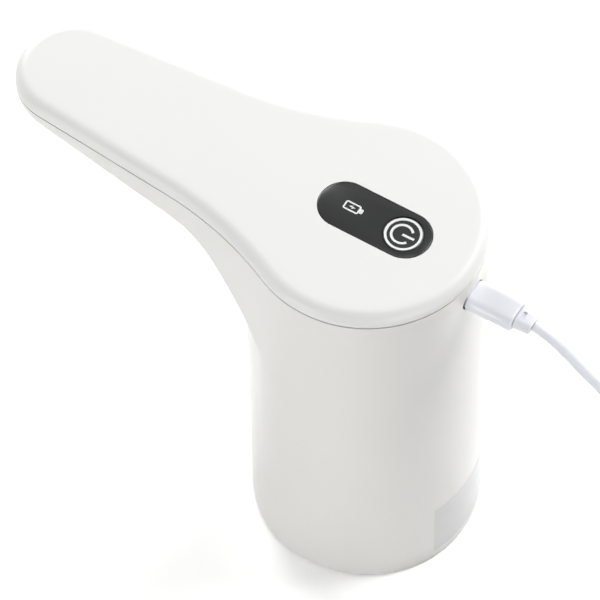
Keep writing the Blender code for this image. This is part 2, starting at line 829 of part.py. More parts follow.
def lid_tongue():
    """A thin wall under the lid that drops inside the housing, open towards the arm's tip."""
    outer = WALL + TOUCH
    rails = []
    for inset in (outer, outer + TONGUE_WIDTH):
        half = [(x, y) for x, y, _ in plan_ring(inset, 0.0) if x > TONGUE_STOP - ARM_LENGTH]
        count = len(half) // 2 + 1
        half = half[:count]
        rails.append([(x, -y) for x, y in half[:0:-1]] + half)
    low, high = LID_BASE - TONGUE_DEPTH, LID_BASE + TONGUE_ROOT
    outside, inside = rails
    rings = [
        [(*outside[k], low), (*inside[k], low), (*inside[k], high), (*outside[k], high)]
        for k in range(len(outside))
    ]
    return loft("tongue", rings)


def post_places():
    return [POST_MIDDLE - POST_SPAN / 2, POST_MIDDLE + POST_SPAN / 2]


def lid_posts():
    return [
        cylinder("post", POST_RADIUS, BOARD_TOP + TOUCH, LID_CEILING + SINK, (x, 0.0))
        for x in post_places()
    ]


def make_control_panel(parent):
    panel = upright_stadium(
        "control_panel",
        PANEL_X,
        PANEL_HALF_SPAN,
        PANEL_RADIUS,
        BODY_HEIGHT - PANEL_THICKNESS,
        BODY_HEIGHT,
    )
    hole = cylinder(
        "key_hole",
        KEY_RADIUS + KEY_GAP,
        BODY_HEIGHT - 2 * PANEL_THICKNESS,
        BODY_HEIGHT + PANEL_THICKNESS,
        (KEY_X, 0.0),
        TURNED_STEPS,
    )
    cut(panel, hole)
    return place(panel, "panel_black", parent)


def make_power_key(parent):
    """A dished round key with a flange under the panel and a stem down to the switch."""
    flange_top = -PANEL_THICKNESS - TOUCH
    shares = [k / KEY_DISH_STEPS for k in range(KEY_DISH_STEPS + 1)]
    dish = [(KEY_DISH_RADIUS * share, KEY_DISH * (share**2 - 1.0)) for share in shares]
    key = lathe("power_key", [
        *dish,
        (KEY_RADIUS - KEY_EDGE, 0.0),
        (KEY_RADIUS, -KEY_EDGE),
        (KEY_RADIUS, flange_top),
        (KEY_RADIUS + KEY_FLANGE, flange_top),
        (KEY_RADIUS + KEY_FLANGE, -KEY_UNDERSIDE),
        (KEY_STEM_RADIUS, -KEY_UNDERSIDE),
        (KEY_STEM_RADIUS, -KEY_UNDERSIDE - KEY_STEM_LENGTH),
        (0.0, -KEY_UNDERSIDE - KEY_STEM_LENGTH),
    ])
    return place(key, "key_black", parent, (KEY_X, 0.0, BODY_HEIGHT))


def make_switch(parent):
    plunger = cylinder("switch_plunger", PLUNGER_RADIUS, -PLUNGER_LENGTH, 0.0)
    place(plunger, "chip_black", parent, (KEY_X, 0.0, PLUNGER_Z))
    side = SWITCH_SIDE / 2
    switch = block("tact_switch", (-side, -side, -SWITCH_HEIGHT), (side, side, 0.0))
    well_depth = PLUNGER_LENGTH - PLUNGER_STANDS + KEY_TRAVEL + TOUCH
    cut(switch, cylinder("well", PLUNGER_RADIUS + TOUCH, -well_depth, TOUCH))
    place(switch, "plated_steel", parent, (KEY_X, 0.0, SWITCH_TOP))


def make_control_board(parent):
    half = Vector((CONTROL_BOARD_LENGTH / 2, CONTROL_BOARD_WIDTH / 2, BOARD_THICKNESS / 2))
    middle = Vector((POST_MIDDLE, 0.0, BOARD_TOP - BOARD_THICKNESS / 2))
    board = block("control_board", middle - half, middle + half)
    low, high = BOARD_TOP - 2 * BOARD_THICKNESS, BOARD_TOP + BOARD_THICKNESS
    holes = [cylinder("hole", SCREW_RADIUS + TOUCH, low, high, (x, 0.0)) for x in post_places()]
    cut(board, *holes)
    place(board, "board_green", parent)
    low = Vector((LAMP_X - LAMP_SIZE.x / 2, -LAMP_SIZE.y / 2, BOARD_TOP + TOUCH))
    place(block("battery_lamp", low, low + LAMP_SIZE), "silicone", parent)
    head_top = BOARD_TOP - BOARD_THICKNESS - TOUCH
    spots = [(x, 0.0) for x in post_places()]
    make_screws("board_screw", spots, head_top, SCREW_REACH + BOARD_THICKNESS, parent)


def make_screws(name, spots, head_top, reach, parent):
    """Like pan-head screws that point up, the upper faces of their heads at head_top."""
    first = lathe(f"{name}_1", [
        (0.0, -SCREW_HEAD_HEIGHT),
        (SCREW_CROWN_RADIUS, -SCREW_HEAD_HEIGHT),
        (SCREW_HEAD_RADIUS, -SCREW_CROWN_HEIGHT),
        (SCREW_HEAD_RADIUS, 0.0),
        (SCREW_RADIUS, 0.0),
        (SCREW_RADIUS, reach),
        (0.0, reach),
    ], SMALL_STEPS)
    place(first, "plated_steel", parent, (*spots[0], head_top))
    for k, spot in enumerate(spots[1:], 2):
        copy = first.copy()
        copy.name = f"{name}_{k}"
        copy.location = (*spot, head_top)
        bpy.context.scene.collection.objects.link(copy)


# Bottle collar, seal and inner frame

def make_bottle_collar(parent):
    """A double-walled ring in the base whose bore grips the bottle's neck."""
    outer = inner_radius(0.0) - TOUCH
    top_outer = inner_radius(COLLAR_HEIGHT) - TOUCH
    ceiling = COLLAR_HEIGHT - COLLAR_CEILING
    collar = lathe("bottle_collar", [
        (COLLAR_BORE + MOUTH_CHAMFER, 0.0),
        (outer, 0.0),
        (top_outer, COLLAR_HEIGHT),
        (top_outer - COLLAR_WALL, COLLAR_HEIGHT),
        (outer - COLLAR_WALL, COLLAR_RIM),
        (COLLAR_BORE + COLLAR_WALL, COLLAR_RIM),
        (COLLAR_BORE + COLLAR_WALL, COLLAR_HEIGHT),
        (INTAKE_RADIUS + BARB_HEIGHT + TOUCH, COLLAR_HEIGHT),
        (INTAKE_RADIUS + BARB_HEIGHT + TOUCH, ceiling),
        (COLLAR_BORE, ceiling),
        (COLLAR_BORE, MOUTH_CHAMFER_HEIGHT),
    ], COLLAR_STEPS)
    ribs = []
    for k in range(RIB_COUNT):
        low = (COLLAR_BORE - RIB_HEIGHT, -RIB_WIDTH / 2, RIB_FOOT)
        rib = block("rib", low, (COLLAR_BORE + COLLAR_WALL / 2, RIB_WIDTH / 2, RIB_TOP))
        rib.data.transform(Matrix.Rotation(math.tau * (k + 0.5) / RIB_COUNT, 4, "Z"))
        ribs.append(rib)
    weld(collar, *ribs)
    holes = [
        cylinder("hole", SCREW_RADIUS + TOUCH, ceiling - SINK, COLLAR_HEIGHT + SINK, spot)
        for spot in ring_places(FRAME_SCREW_RING, FRAME_SCREW_ANGLES)
    ]
    cut(collar, *holes)
    place(collar, "collar_plastic", parent)
    seal_outer = COLLAR_BORE - RIB_HEIGHT
    seal_top = ceiling - TOUCH
    seal = lathe("neck_seal", [
        (seal_outer - SEAL_WIDTH, seal_top - SEAL_THICKNESS),
        (seal_outer, seal_top - SEAL_THICKNESS),
        (seal_outer, seal_top),
        (seal_outer - SEAL_WIDTH, seal_top),
    ])
    place(seal, "silicone", parent)
    spots = ring_places(FRAME_SCREW_RING, FRAME_SCREW_ANGLES)
    make_screws("frame_screw", spots, ceiling - TOUCH, COLLAR_CEILING + FRAME_THICKNESS, parent)


def ring_places(radius, angles):
    return [(radius * math.cos(math.radians(a)), radius * math.sin(math.radians(a))) for a in angles]


def make_inner_frame(parent):
    """A deck on the collar, four pillars and a shelf that carries the charging board."""
    deck = cylinder("inner_frame", inner_radius(FRAME_Z) - TOUCH, FRAME_Z, DECK_Z, steps=TURNED_STEPS)
    shelf = cylinder("shelf", inner_radius(FRAME_TOP_Z) - TOUCH * 3, SHELF_Z, FRAME_TOP_Z, steps=TURNED_STEPS)
    pillars = [
        cylinder("pillar", PILLAR_RADIUS, DECK_Z - SINK, SHELF_Z + SINK, spot, PILLAR_STEPS)
        for spot in ring_places(PILLAR_RING, PILLAR_ANGLES)
    ]
    board_z = CHARGE_BOARD_Z - TOUCH
    standoffs = [
        cylinder("standoff", STANDOFF_RADIUS, FRAME_TOP_Z - SINK, board_z, spot, PILLAR_STEPS)
        for spot in standoff_places()
    ]
    weld(deck, shelf, *pillars, *standoffs)
    notch = block(
        "notch",
        (-BODY_RADIUS, -HOSE_NOTCH_RADIUS, SHELF_Z - SINK),
        (HOSE_X + HOSE_NOTCH_RADIUS, HOSE_NOTCH_RADIUS, FRAME_TOP_Z + SINK),
    )
    intake = cylinder("intake", INTAKE_RADIUS + TOUCH, FRAME_Z - SINK, DECK_Z + SINK)
    wire_hole = cylinder("wire_hole", WIRE_HOLE_RADIUS, SHELF_Z - SINK, FRAME_TOP_Z + SINK)
    bores = [
        cylinder("bore", SCREW_RADIUS + TOUCH, FRAME_Z - SINK, DECK_Z + SINK, spot)
        for spot in ring_places(FRAME_SCREW_RING, FRAME_SCREW_ANGLES)
    ]
    cut(deck, notch, intake, wire_hole, *bores)
    place(deck, "inner_plastic", parent)


def standoff_places():
    y = CHARGE_BOARD_WIDTH / 2 - STANDOFF_RADIUS
    return [
        (x, side * y)
        for x in (CHARGE_BOARD_BACK + STANDOFF_RADIUS, CHARGE_BOARD_EDGE - 4 * STANDOFF_RADIUS)
        for side in (1, -1)
    ]


# Pump and motor

def make_pump(parent, spindle):
    head = cylinder("pump_head", PUMP_RADIUS, 0.0, PUMP_HEIGHT, steps=TURNED_STEPS)
    chamber_floor = PUMP_HEIGHT - CHAMBER_DEPTH
    chamber = cylinder("chamber", CHAMBER_RADIUS, chamber_floor, PUMP_HEIGHT + SINK, steps=TURNED_STEPS)
    intake = cylinder("intake", INTAKE_RADIUS + TOUCH, -SINK, INTAKE_SOCKET, (-PUMP_X, 0.0))
    outlet = cylinder("outlet", ELBOW_RADIUS + TOUCH, 0.0, PUMP_RADIUS)
    lying = Matrix.Translation((0.0, 0.0, ELBOW_Z - PUMP_Z)) @ Matrix.Rotation(-math.pi / 2, 4, "Y")
    outlet.data.transform(lying)
    cut(head, chamber, intake, outlet)
    place(head, "inner_plastic", parent, (PUMP_X, 0.0, PUMP_Z))

    bore = SHAFT_RADIUS + SHAFT_GAP
    motor = lathe("pump_motor", [
        (bore, 0.0),
        (MOTOR_RADIUS - MOTOR_SHOULDER, 0.0),
        (MOTOR_RADIUS, MOTOR_SHOULDER),
        (MOTOR_RADIUS, MOTOR_LENGTH - MOTOR_SHOULDER),
        (MOTOR_RADIUS - MOTOR_SHOULDER, MOTOR_LENGTH),
        (bore, MOTOR_LENGTH),
    ])
    place(motor, "motor_steel", parent, (PUMP_X, 0.0, MOTOR_Z))
    endbell = cylinder("motor_endbell", ENDBELL_RADIUS, 0.0, ENDBELL_HEIGHT, steps=TURNED_STEPS)
    place(endbell, "chip_black", parent, (PUMP_X, 0.0, MOTOR_Z + MOTOR_LENGTH + TOUCH))

    cam_z = CHAMBER_Z + CAM_FLOOR_GAP
    cam = cylinder("drive_cam", CAM_RADIUS, 0.0, CAM_THICKNESS, (CAM_OFFSET, 0.0), TURNED_STEPS)
    cut(cam, cylinder("bore", bore, -SINK, CAM_THICKNESS + SINK))
    place(cam, "inner_plastic", spindle, (0.0, 0.0, cam_z))
    shaft = cylinder("motor_shaft", SHAFT_RADIUS, 0.0, SHAFT_LENGTH)
    place(shaft, "plated_steel", spindle, (0.0, 0.0, cam_z + TOUCH))


def make_intake_barb(parent):
    """The tube that the intake hose pushes onto, inside the bottle's neck."""
    top = PUMP_Z + INTAKE_SOCKET - TOUCH
    bottom = COLLAR_HEIGHT - COLLAR_CEILING - INTAKE_REACH
    profile = [(INTAKE_BORE, top), (INTAKE_BORE, bottom), (INTAKE_RADIUS - BARB_HEIGHT, bottom)]
    for k in range(BARB_COUNT):
        foot = bottom + BARB_PITCH * k
        profile.append((INTAKE_RADIUS + BARB_HEIGHT, foot + BARB_RAMP))
        profile.append((INTAKE_RADIUS - BARB_HEIGHT, foot + BARB_RAMP + BARB_BACK))
    profile.append((INTAKE_RADIUS, bottom + BARB_PITCH * (BARB_COUNT + 1)))
    profile.append((INTAKE_RADIUS, top))
    place(lathe("intake_barb", profile, SMALL_STEPS), "collar_plastic", parent)


# Battery

def make_battery(parent):
    """A lithium cell on end in a half-open sleeve, with a sprung contact plate at each end."""
    bottom = HOLDER_FLOOR + TOUCH + CONTACT_THICKNESS + TOUCH
    top = bottom + CELL_LENGTH + CELL_NUB_HEIGHT
    ceiling = top + TOUCH + CONTACT_THICKNESS + TOUCH
    sleeve = cylinder("battery_holder", HOLDER_RADIUS, 0.0, ceiling + HOLDER_FLOOR, steps=TURNED_STEPS)
    inside = cylinder("inside", CELL_RADIUS + TOUCH, HOLDER_FLOOR, ceiling, steps=TURNED_STEPS)
    reach = 2 * CELL_RADIUS
    window = block(
        "window",
        (CELL_RADIUS * math.cos(HOLDER_OPEN / 2), -reach, HOLDER_FLOOR + WINDOW_LIP),
        (reach, reach, ceiling - WINDOW_LIP),
    )
    cut(sleeve, inside, window)
    place(sleeve, "inner_plastic", parent, (CELL_X, 0.0, PUMP_Z))
    cell = lathe("battery_cell", [
        (0.0, 0.0),
        (CELL_RADIUS, 0.0),
        (CELL_RADIUS, CELL_LENGTH),
        (CELL_NUB_RADIUS, CELL_LENGTH),
        (CELL_NUB_RADIUS, CELL_LENGTH + CELL_NUB_HEIGHT),
        (0.0, CELL_LENGTH + CELL_NUB_HEIGHT),
    ])
    place(cell, "cell_wrap", parent, (CELL_X, 0.0, PUMP_Z + bottom))
    for name, z in (("contact_lower", HOLDER_FLOOR + TOUCH), ("contact_upper", top + TOUCH)):
        plate = cylinder(name, CONTACT_RADIUS, 0.0, CONTACT_THICKNESS)
        place(plate, "plated_steel", parent, (CELL_X, 0.0, PUMP_Z + z))


# Outlet elbow, hose and spout

def hose_floor(x):
    """Height of the hose's middle above the arm's inner floor."""
    return underside(x, WALL) + HOSE_LIFT


def make_outlet(parent):
    inner_end = PUMP_X - PUMP_RADIUS / 2
    elbow_path = [Vector((inner_end, 0.0, ELBOW_Z)), Vector((HOSE_X + ELBOW_BEND, 0.0, ELBOW_Z))]
    for k in range(1, ELBOW_STEPS + 1):
        turn = math.pi / 2 * k / ELBOW_STEPS
        x = HOSE_X + ELBOW_BEND * (1 - math.sin(turn))
        elbow_path.append(Vector((x, 0.0, ELBOW_Z + ELBOW_BEND * (1 - math.cos(turn)))))
    elbow_path.append(Vector((HOSE_X, 0.0, ELBOW_Z + ELBOW_BEND + ELBOW_RISE)))
    place(pipe("outlet_elbow", elbow_path, ELBOW_RADIUS, ELBOW_BORE), "inner_plastic", parent)

    start = ELBOW_Z + ELBOW_BEND + TOUCH
    brace_foot = underside(-BODY_RADIUS, WALL)
    riser = [(HOSE_X, start), (HOSE_X, (start + brace_foot) / 2), (HOSE_X, brace_foot - HOSE_STRAIGHT)]
    bend = [(HOSE_X - HOSE_LEAN, brace_foot), (-BODY_RADIUS, brace_foot + HOSE_BEND_RISE)]
    along = [-BRACE_REACH, -BRACE_REACH - 2 * HOSE_CUFF, -(BRACE_REACH + HOSE_END) / 2]
    level = [(-HOSE_END + HOSE_LEVEL_STEP * k, hose_floor(-HOSE_END)) for k in (2, 1, 0)]
    route = riser + bend + [(x, hose_floor(x)) for x in along] + level
    path = smooth_path([(x, 0.0, z) for x, z in route], HOSE_STEPS)
    place(pipe("outlet_hose", path, HOSE_RADIUS, HOSE_BORE), "silicone", parent)


def make_spout(parent):
    """A stainless spout that hangs through the arm's tip, fed through a stub in its side."""
    top = LID_CEILING - TOUCH
    bottom = underside(-ARM_LENGTH) - SPOUT_DROP
    spout = lathe("spout_nozzle", [
        (0.0, top),
        (0.0, top - SPOUT_CAP),
        (SPOUT_BORE, top - SPOUT_CAP),
        (SPOUT_BORE, bottom),
        (SPOUT_RADIUS, bottom),
        (SPOUT_RADIUS, top),
    ], TURNED_STEPS)
    stub_z = hose_floor(-HOSE_END)
    inner_x = SPOUT_BORE + (SPOUT_RADIUS - SPOUT_BORE) / 2
    outer_x = HOSE_STOP + HOSE_CUFF
    lying = Matrix.Translation((0.0, 0.0, stub_z)) @ Matrix.Rotation(math.pi / 2, 4, "Y")
    stub = cylinder("stub", STUB_RADIUS, inner_x, outer_x)
    stub_bore = cylinder("stub_bore", STUB_BORE, 0.0, outer_x + SINK)
    for piece in (stub, stub_bore):
        piece.data.transform(lying)
    weld(spout, stub)
    cut(spout, stub_bore)
    place(spout, "stainless", parent, (-ARM_LENGTH, 0.0, 0.0))
    hole = SPOUT_RADIUS + WASHER_GAP
    washer = lathe("spout_washer", [
        (hole, 0.0),
        (hole + WASHER_WIDTH, 0.0),
        (hole + WASHER_WIDTH, WASHER_THICKNESS),
        (hole, WASHER_THICKNESS),
    ])
    place(washer, "silicone", parent, (-ARM_LENGTH, 0.0, underside(-ARM_LENGTH, WALL) + TOUCH))
    washer.rotation_euler.y = ARM_SLOPE


# Charging board and port

def make_charging_port(parent):
    mouth = BODY_RADIUS - PLUG_SEAT - SOCKET_MOUTH
    board = block(
        "charge_board",
        (CHARGE_BOARD_BACK, -CHARGE_BOARD_WIDTH / 2, CHARGE_BOARD_Z),
        (CHARGE_BOARD_EDGE, CHARGE_BOARD_WIDTH / 2, CHARGE_BOARD_Z + BOARD_THICKNESS),
    )
    chip_z = CHARGE_BOARD_Z + BOARD_THICKNESS - SINK
    chip_low = Vector((CHARGE_BOARD_BACK + CHIP_SIZE.x / 2, -CHIP_SIZE.y / 2, chip_z))
    weld(board, block("chip", chip_low, chip_low + CHIP_SIZE))
    place(board, "board_green", parent)

    width, height = SOCKET_OUTSIDE.y, SOCKET_OUTSIDE.z
    socket = lying_stadium("charge_socket", width, height, [(-SOCKET_LENGTH, 1.0), (0.0, 1.0)])
    back = -SOCKET_LENGTH + 2 * SOCKET_WALL
    inside = lying_stadium(
        "inside",
        width - 2 * SOCKET_WALL,
        height - 2 * SOCKET_WALL,
        [(back, 1.0), (SINK, 1.0)],
    )
    cut(socket, inside)
    plate = TONGUE_PLATE
    plate_low = (back - SOCKET_WALL, -plate.y / 2, -plate.z / 2)
    weld(socket, block("plate", plate_low, (back + plate.x, plate.y / 2, plate.z / 2)))
    place(socket, "plated_steel", parent, (mouth, 0.0, PORT_Z))


# Charging lead

def make_plug(lead):
    """The lead's plug: a moulded grip, a flat metal blade in the port, and a slotted relief behind it."""
    grip = rounded_bar("charge_plug", PLUG_WIDTH, PLUG_HEIGHT, 0.0, PLUG_LENGTH, PLUG_ROUND)
    place(grip, "lead_white", lead)
    reach = [(-TOUCH - BLADE_LENGTH, 1.0), (-TOUCH, 1.0)]
    blade = lying_stadium("plug_blade", BLADE_WIDTH, BLADE_HEIGHT, reach)
    wall = 2 * BLADE_WALL
    mouth = [(-TOUCH - BLADE_LENGTH - SINK, 1.0), (-TOUCH - BLADE_WALL, 1.0)]
    cut(blade, lying_stadium("hollow", BLADE_WIDTH - wall, BLADE_HEIGHT - wall, mouth))
    place(blade, "plated_steel", lead)

    shares = [k / RELIEF_STATIONS for k in range(RELIEF_STATIONS + 1)]
    stations = [(RELIEF_LENGTH * share, 1.0 + (RELIEF_TAPER - 1.0) * share) for share in shares]
    relief = lying_stadium("strain_relief", RELIEF_WIDTH, RELIEF_HEIGHT, stations)
    slots = []
    for side in (1, -1):
        middle = Vector((RELIEF_LENGTH * SLOT_PLACE, 0.0, side * RELIEF_HEIGHT / 2))
        half = Vector((SLOT_WIDTH / 2, SLOT_LENGTH / 2, SLOT_DEPTH))
        slots.append(block("slot", middle - half, middle + half))
    for piece in (relief, *slots):
        for vertex in piece.data.vertices:
            vertex.co = drooped(vertex.co)
    cut(relief, *slots)
    place(relief, "lead_white", lead, (PLUG_LENGTH + TOUCH, 0.0, 0.0))


def drooped(point):
    """Where a point of the straight relief comes to once the cord's weight has bent it down."""
    angle = RELIEF_DROOP * point.x / RELIEF_LENGTH
    radius = RELIEF_LENGTH / RELIEF_DROOP
    reach = radius + point.z
    return Vector((reach * math.sin(angle), point.y, reach * math.cos(angle) - radius))


def coil_path():
    """The coil's middle line: in along the floor, up a layer as it turns back, and out again on top."""
    total = math.tau * COIL_TURNS
    climb = math.tau * COIL_CLIMB
    rate = COIL_SPACING / math.tau
    inner = COIL_OUTER_RADIUS - rate * total / 2
    path = [Vector((-CORD_DIAMETER * share, COIL_OUTER_RADIUS, 0.0)) for share in (1.0, 0.5)]
    steps = round(COIL_TURNS * COIL_POINTS)
    for k in range(steps + 1):
        turned = total * k / steps
        radius = inner + rate * abs(turned - total / 2)
        share = min(max((turned - (total - climb) / 2) / climb, 0.0), 1.0)
        height = COIL_SPACING * share * share * (3 - 2 * share)
        angle = math.pi / 2 - turned
        path.append(Vector((radius * math.cos(angle), radius * math.sin(angle), height)))
    last = path[-1]
    drop = CORD_RADIUS + last.z - FAR_HEIGHT / 2
    for k in range(1, COIL_TAIL_STEPS + 1):
        share = k / COIL_TAIL_STEPS
        path.append(last + Vector((-COIL_TAIL * share, 0.0, -drop * share * share * (3 - 2 * share))))
    path.append(path[-1] + Vector((-CORD_DIAMETER, 0.0, 0.0)))
    return [COIL_CENTRE + point for point in path]


def least_gap(path):
    """The least clear space between stretches of the cord that aren't neighbours along it."""
    fine = smooth_path(path, CORD_STEPS)
    spacing = CORD_DIAMETER * 2
    lengths = [0.0]
    for a, b in zip(fine, fine[1:]):
        lengths.append(lengths[-1] + (b - a).length)
    gaps = [
        (fine[i] - fine[j]).length
        for i in range(len(fine))
        for j in range(i + 1, len(fine))
        if lengths[j] - lengths[i] > spacing
    ]
    return min(gaps) - CORD_DIAMETER


def make_cord(lead, lead_x):
    """The cord's free stretch from the plug to the floor, and the rest of it in a coil."""
    coil = coil_path()
    origin = Vector((lead_x, 0.0, PORT_Z))
    relief_end = origin + Vector((PLUG_LENGTH + TOUCH, 0.0, 0.0)) + drooped(Vector((RELIEF_LENGTH, 0.0, 0.0)))
    away = Vector((math.cos(RELIEF_DROOP), 0.0, -math.sin(RELIEF_DROOP)))
    run_out = [relief_end + TOUCH * away, relief_end + (TOUCH + CORD_RADIUS) * away]
    meeting = coil[0] - Vector((TOUCH, 0.0, 0.0))
    run_in = [meeting - Vector((CORD_DIAMETER, 0.0, 0.0)), meeting]
    route = [Vector((BODY_RADIUS + out, 0.0, PORT_Z * share)) for out, share in CORD_ROUTE]
    path = smooth_path([*run_out, *route, *run_in], CORD_STEPS)
    for point in path:
        point.z = max(point.z, CORD_RADIUS)
    cord = tube_curve("charge_cord", [point - origin for point in path], CORD_DIAMETER, 2)
    place(cord, "lead_white", lead)
    wound = tube_curve("cord_coil", [point - origin for point in coil], CORD_DIAMETER, 1)
    place(wound, "lead_white", lead)
    gap = least_gap(coil)
    enough = gap > COIL_LEAST_GAP
    print(f"coil: least gap to itself {gap * 1000:.2f} mm, over {COIL_LEAST_GAP * 1000:.1f} mm: {enough}")
    length = sum((b - a).length for line in (path, coil) for a, b in zip(line, line[1:]))
    print(f"cord: {length * 1000:.0f} mm from the plug's relief to the far plug's relief")
    make_far_plug(lead, coil[-1] - origin)


def make_far_plug(lead, end):
    """The wide plug on the lead's far end, lying on the floor beside the coil."""
    turned = Matrix.Translation(end - Vector((TOUCH, 0.0, 0.0))) @ Matrix.Rotation(math.pi, 4, "Z")
    relief = lathe("far_relief", [
        (0.0, 0.0),
        (FAR_RELIEF_TIP, 0.0),
        (FAR_RELIEF_RADIUS, FAR_RELIEF_LENGTH),
        (0.0, FAR_RELIEF_LENGTH),
    ], SMALL_STEPS)
    relief.data.transform(turned @ Matrix.Rotation(math.pi / 2, 4, "Y"))
    place(relief, "lead_white", lead)
    start = FAR_RELIEF_LENGTH + TOUCH
    half = Vector((0.0, FAR_WIDTH / 2, FAR_HEIGHT / 2))
    grip = block("far_plug", Vector((start, 0.0, 0.0)) - half, Vector((start + FAR_LENGTH, 0.0, 0.0)) + half)
    bevelled(grip, FAR_ROUND)
    grip.data.transform(turned)
    place(grip, "lead_white", lead)
    blade_start = start + FAR_LENGTH + TOUCH
    half = Vector((0.0, FAR_BLADE.y / 2, FAR_BLADE.z / 2))
    blade_end = Vector((blade_start + FAR_BLADE.x, 0.0, 0.0))
    blade = block("far_blade", Vector((blade_start, 0.0, 0.0)) - half, blade_end + half)
    wall = Vector((0.0, FAR_BLADE_WALL, FAR_BLADE_WALL))
    inner_low = Vector((blade_start + FAR_BLADE_WALL, 0.0, 0.0)) - half + wall
    cut(blade, block("hollow", inner_low, blade_end + half - wall + Vector((SINK, 0.0, 0.0))))
    blade.data.transform(turned)
    place(blade, "plated_steel", lead)


def empty(name, location, parent=None):
    made = bpy.data.objects.new(name, None)
    bpy.context.scene.collection.objects.link(made)
    made.location = location
    made.parent = parent
    return made


def build():
    clear_scene()
    axis = empty("body_axis", (AXIS_X, 0.0, 0.0))
    spindle = empty("motor_axis", (PUMP_X, 0.0, 0.0), axis)
    lead_x = BODY_RADIUS - PLUG_SEAT
    lead = empty("lead_axis", (lead_x, 0.0, PORT_Z), axis)
    make_main_housing(axis)
    make_top_cover(axis)
    make_control_panel(axis)
    make_power_key(axis)
    make_switch(axis)
    make_control_board(axis)
    make_bottle_collar(axis)
    make_inner_frame(axis)
    make_pump(axis, spindle)
    make_intake_barb(axis)
    make_battery(axis)
    make_outlet(axis)
    make_spout(axis)
    make_charging_port(axis)
    make_plug(lead)
    make_cord(lead, lead_x)


build()
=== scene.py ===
# %% [markdown]
# # A pump for a large water bottle
#
# The real pump stands on the neck of a large water bottle. It is a round white body under a flat lid, and
# the lid and the body run out together into a spout arm. A black panel with one round key is let into the
# lid, and a charging lead is plugged into the side.
#
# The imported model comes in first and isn't moved. Everything after it is made in the same place and size,
# with finer faces and with the finishes that the eye expects.

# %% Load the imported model
import json
import math

import bmesh
import bpy
from mathutils import Matrix, Vector

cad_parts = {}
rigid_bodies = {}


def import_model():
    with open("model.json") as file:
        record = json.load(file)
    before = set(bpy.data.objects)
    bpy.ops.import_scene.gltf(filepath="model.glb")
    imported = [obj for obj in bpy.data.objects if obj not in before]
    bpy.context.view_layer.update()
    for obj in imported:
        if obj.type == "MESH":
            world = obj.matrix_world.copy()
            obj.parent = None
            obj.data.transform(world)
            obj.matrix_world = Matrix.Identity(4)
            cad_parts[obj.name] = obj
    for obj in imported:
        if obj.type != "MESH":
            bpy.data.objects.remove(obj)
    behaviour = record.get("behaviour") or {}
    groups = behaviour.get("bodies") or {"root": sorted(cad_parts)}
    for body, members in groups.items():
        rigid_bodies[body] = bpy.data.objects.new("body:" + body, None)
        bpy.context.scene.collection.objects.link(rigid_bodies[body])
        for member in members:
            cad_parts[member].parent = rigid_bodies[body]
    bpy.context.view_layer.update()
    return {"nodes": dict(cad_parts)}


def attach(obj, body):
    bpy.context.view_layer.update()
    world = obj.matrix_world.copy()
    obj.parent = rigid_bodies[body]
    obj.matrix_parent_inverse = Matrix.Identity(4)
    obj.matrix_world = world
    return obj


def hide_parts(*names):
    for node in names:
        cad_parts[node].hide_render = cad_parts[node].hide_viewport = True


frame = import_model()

# %% [markdown]
# ## The camera
#
# The camera is settled first, because the charging lead has to leave the picture where the photograph's
# lead does. The pump is seen from high up and from far away, so the lens is very long and upright edges
# stay almost parallel. The position and the directions were worked out from points on the lid and the body.

# %% Camera
BODY_AXIS = Vector((0.0438, 0.0, 0.0))
CAMERA_PLACE = Vector((0.7042, -1.1655, 2.1613))
CAMERA_RIGHT = Vector((0.8522, 0.5232, -0.0056))
CAMERA_BACK = Vector((0.2929, -0.4682, 0.8337))
CAMERA_SIGHT = 10.0
LENS_PIXELS = 7852.0
FRAME_PIXELS = 600
SENSOR_WIDTH = 36.0


def add_object(name, data):
    obj = bpy.data.objects.new(name, data)
    bpy.context.scene.collection.objects.link(obj)
    return obj


def make_camera():
    camera = add_object("camera", bpy.data.cameras.new("camera"))
    back = CAMERA_BACK.normalized()
    right = (CAMERA_RIGHT - CAMERA_RIGHT.dot(back) * back).normalized()
    turn = Matrix((right, back.cross(right), back)).transposed()
    camera.matrix_world = Matrix.Translation(CAMERA_PLACE + BODY_AXIS) @ turn.to_4x4()
    camera.data.sensor_width = SENSOR_WIDTH
    camera.data.lens = LENS_PIXELS / FRAME_PIXELS * SENSOR_WIDTH
    camera.data.clip_end = CAMERA_SIGHT
    bpy.context.scene.camera = camera
    return camera


camera = make_camera()
print(f"camera: lens {camera.data.lens:.0f} mm, {CAMERA_PLACE.length:.2f} m from the body's foot")

# %% [markdown]
# ## Colours and nodes
#
# Colours are written as the sRGB hex values that a paint chart gives, and one function turns them into the
# linear values that shaders use. One small function adds a node, with its settings, values and links, and
# the small ones after it make what several finishes share.

# %% Colour and node helpers
def linear(code):
    """The sRGB standard's own curve."""
    values = [int(code[k:k + 2], 16) / 255 for k in (1, 3, 5)]
    return [v / 12.92 if v <= 0.04045 else ((v + 0.055) / 1.055) ** 2.4 for v in values] + [1.0]


def add_node(tree, kind, settings=None, inputs=None):
    node = tree.nodes.new(kind)
    for name, value in (settings or {}).items():
        setattr(node, name, value)
    for name, value in (inputs or {}).items():
        if isinstance(value, bpy.types.NodeSocket):
            tree.links.new(value, node.inputs[name])
        else:
            node.inputs[name].default_value = value
    return node


def new_material(name):
    """An empty material, the tree to build it in and its Object coordinates."""
    material = bpy.data.materials.new(name)
    material.use_nodes = True
    tree = material.node_tree
    tree.nodes.clear()
    return material, tree, add_node(tree, "ShaderNodeTexCoord").outputs["Object"]


def noise(tree, place, size_mm, detail=2.0):
    inputs = {"Vector": place, "Scale": 1000 / size_mm, "Detail": detail}
    return add_node(tree, "ShaderNodeTexNoise", inputs=inputs).outputs[0]


def tint(tree, factor, first, second):
    inputs = {0: factor, 6: linear(first), 7: linear(second)}
    return add_node(tree, "ShaderNodeMix", {"data_type": "RGBA"}, inputs).outputs[2]


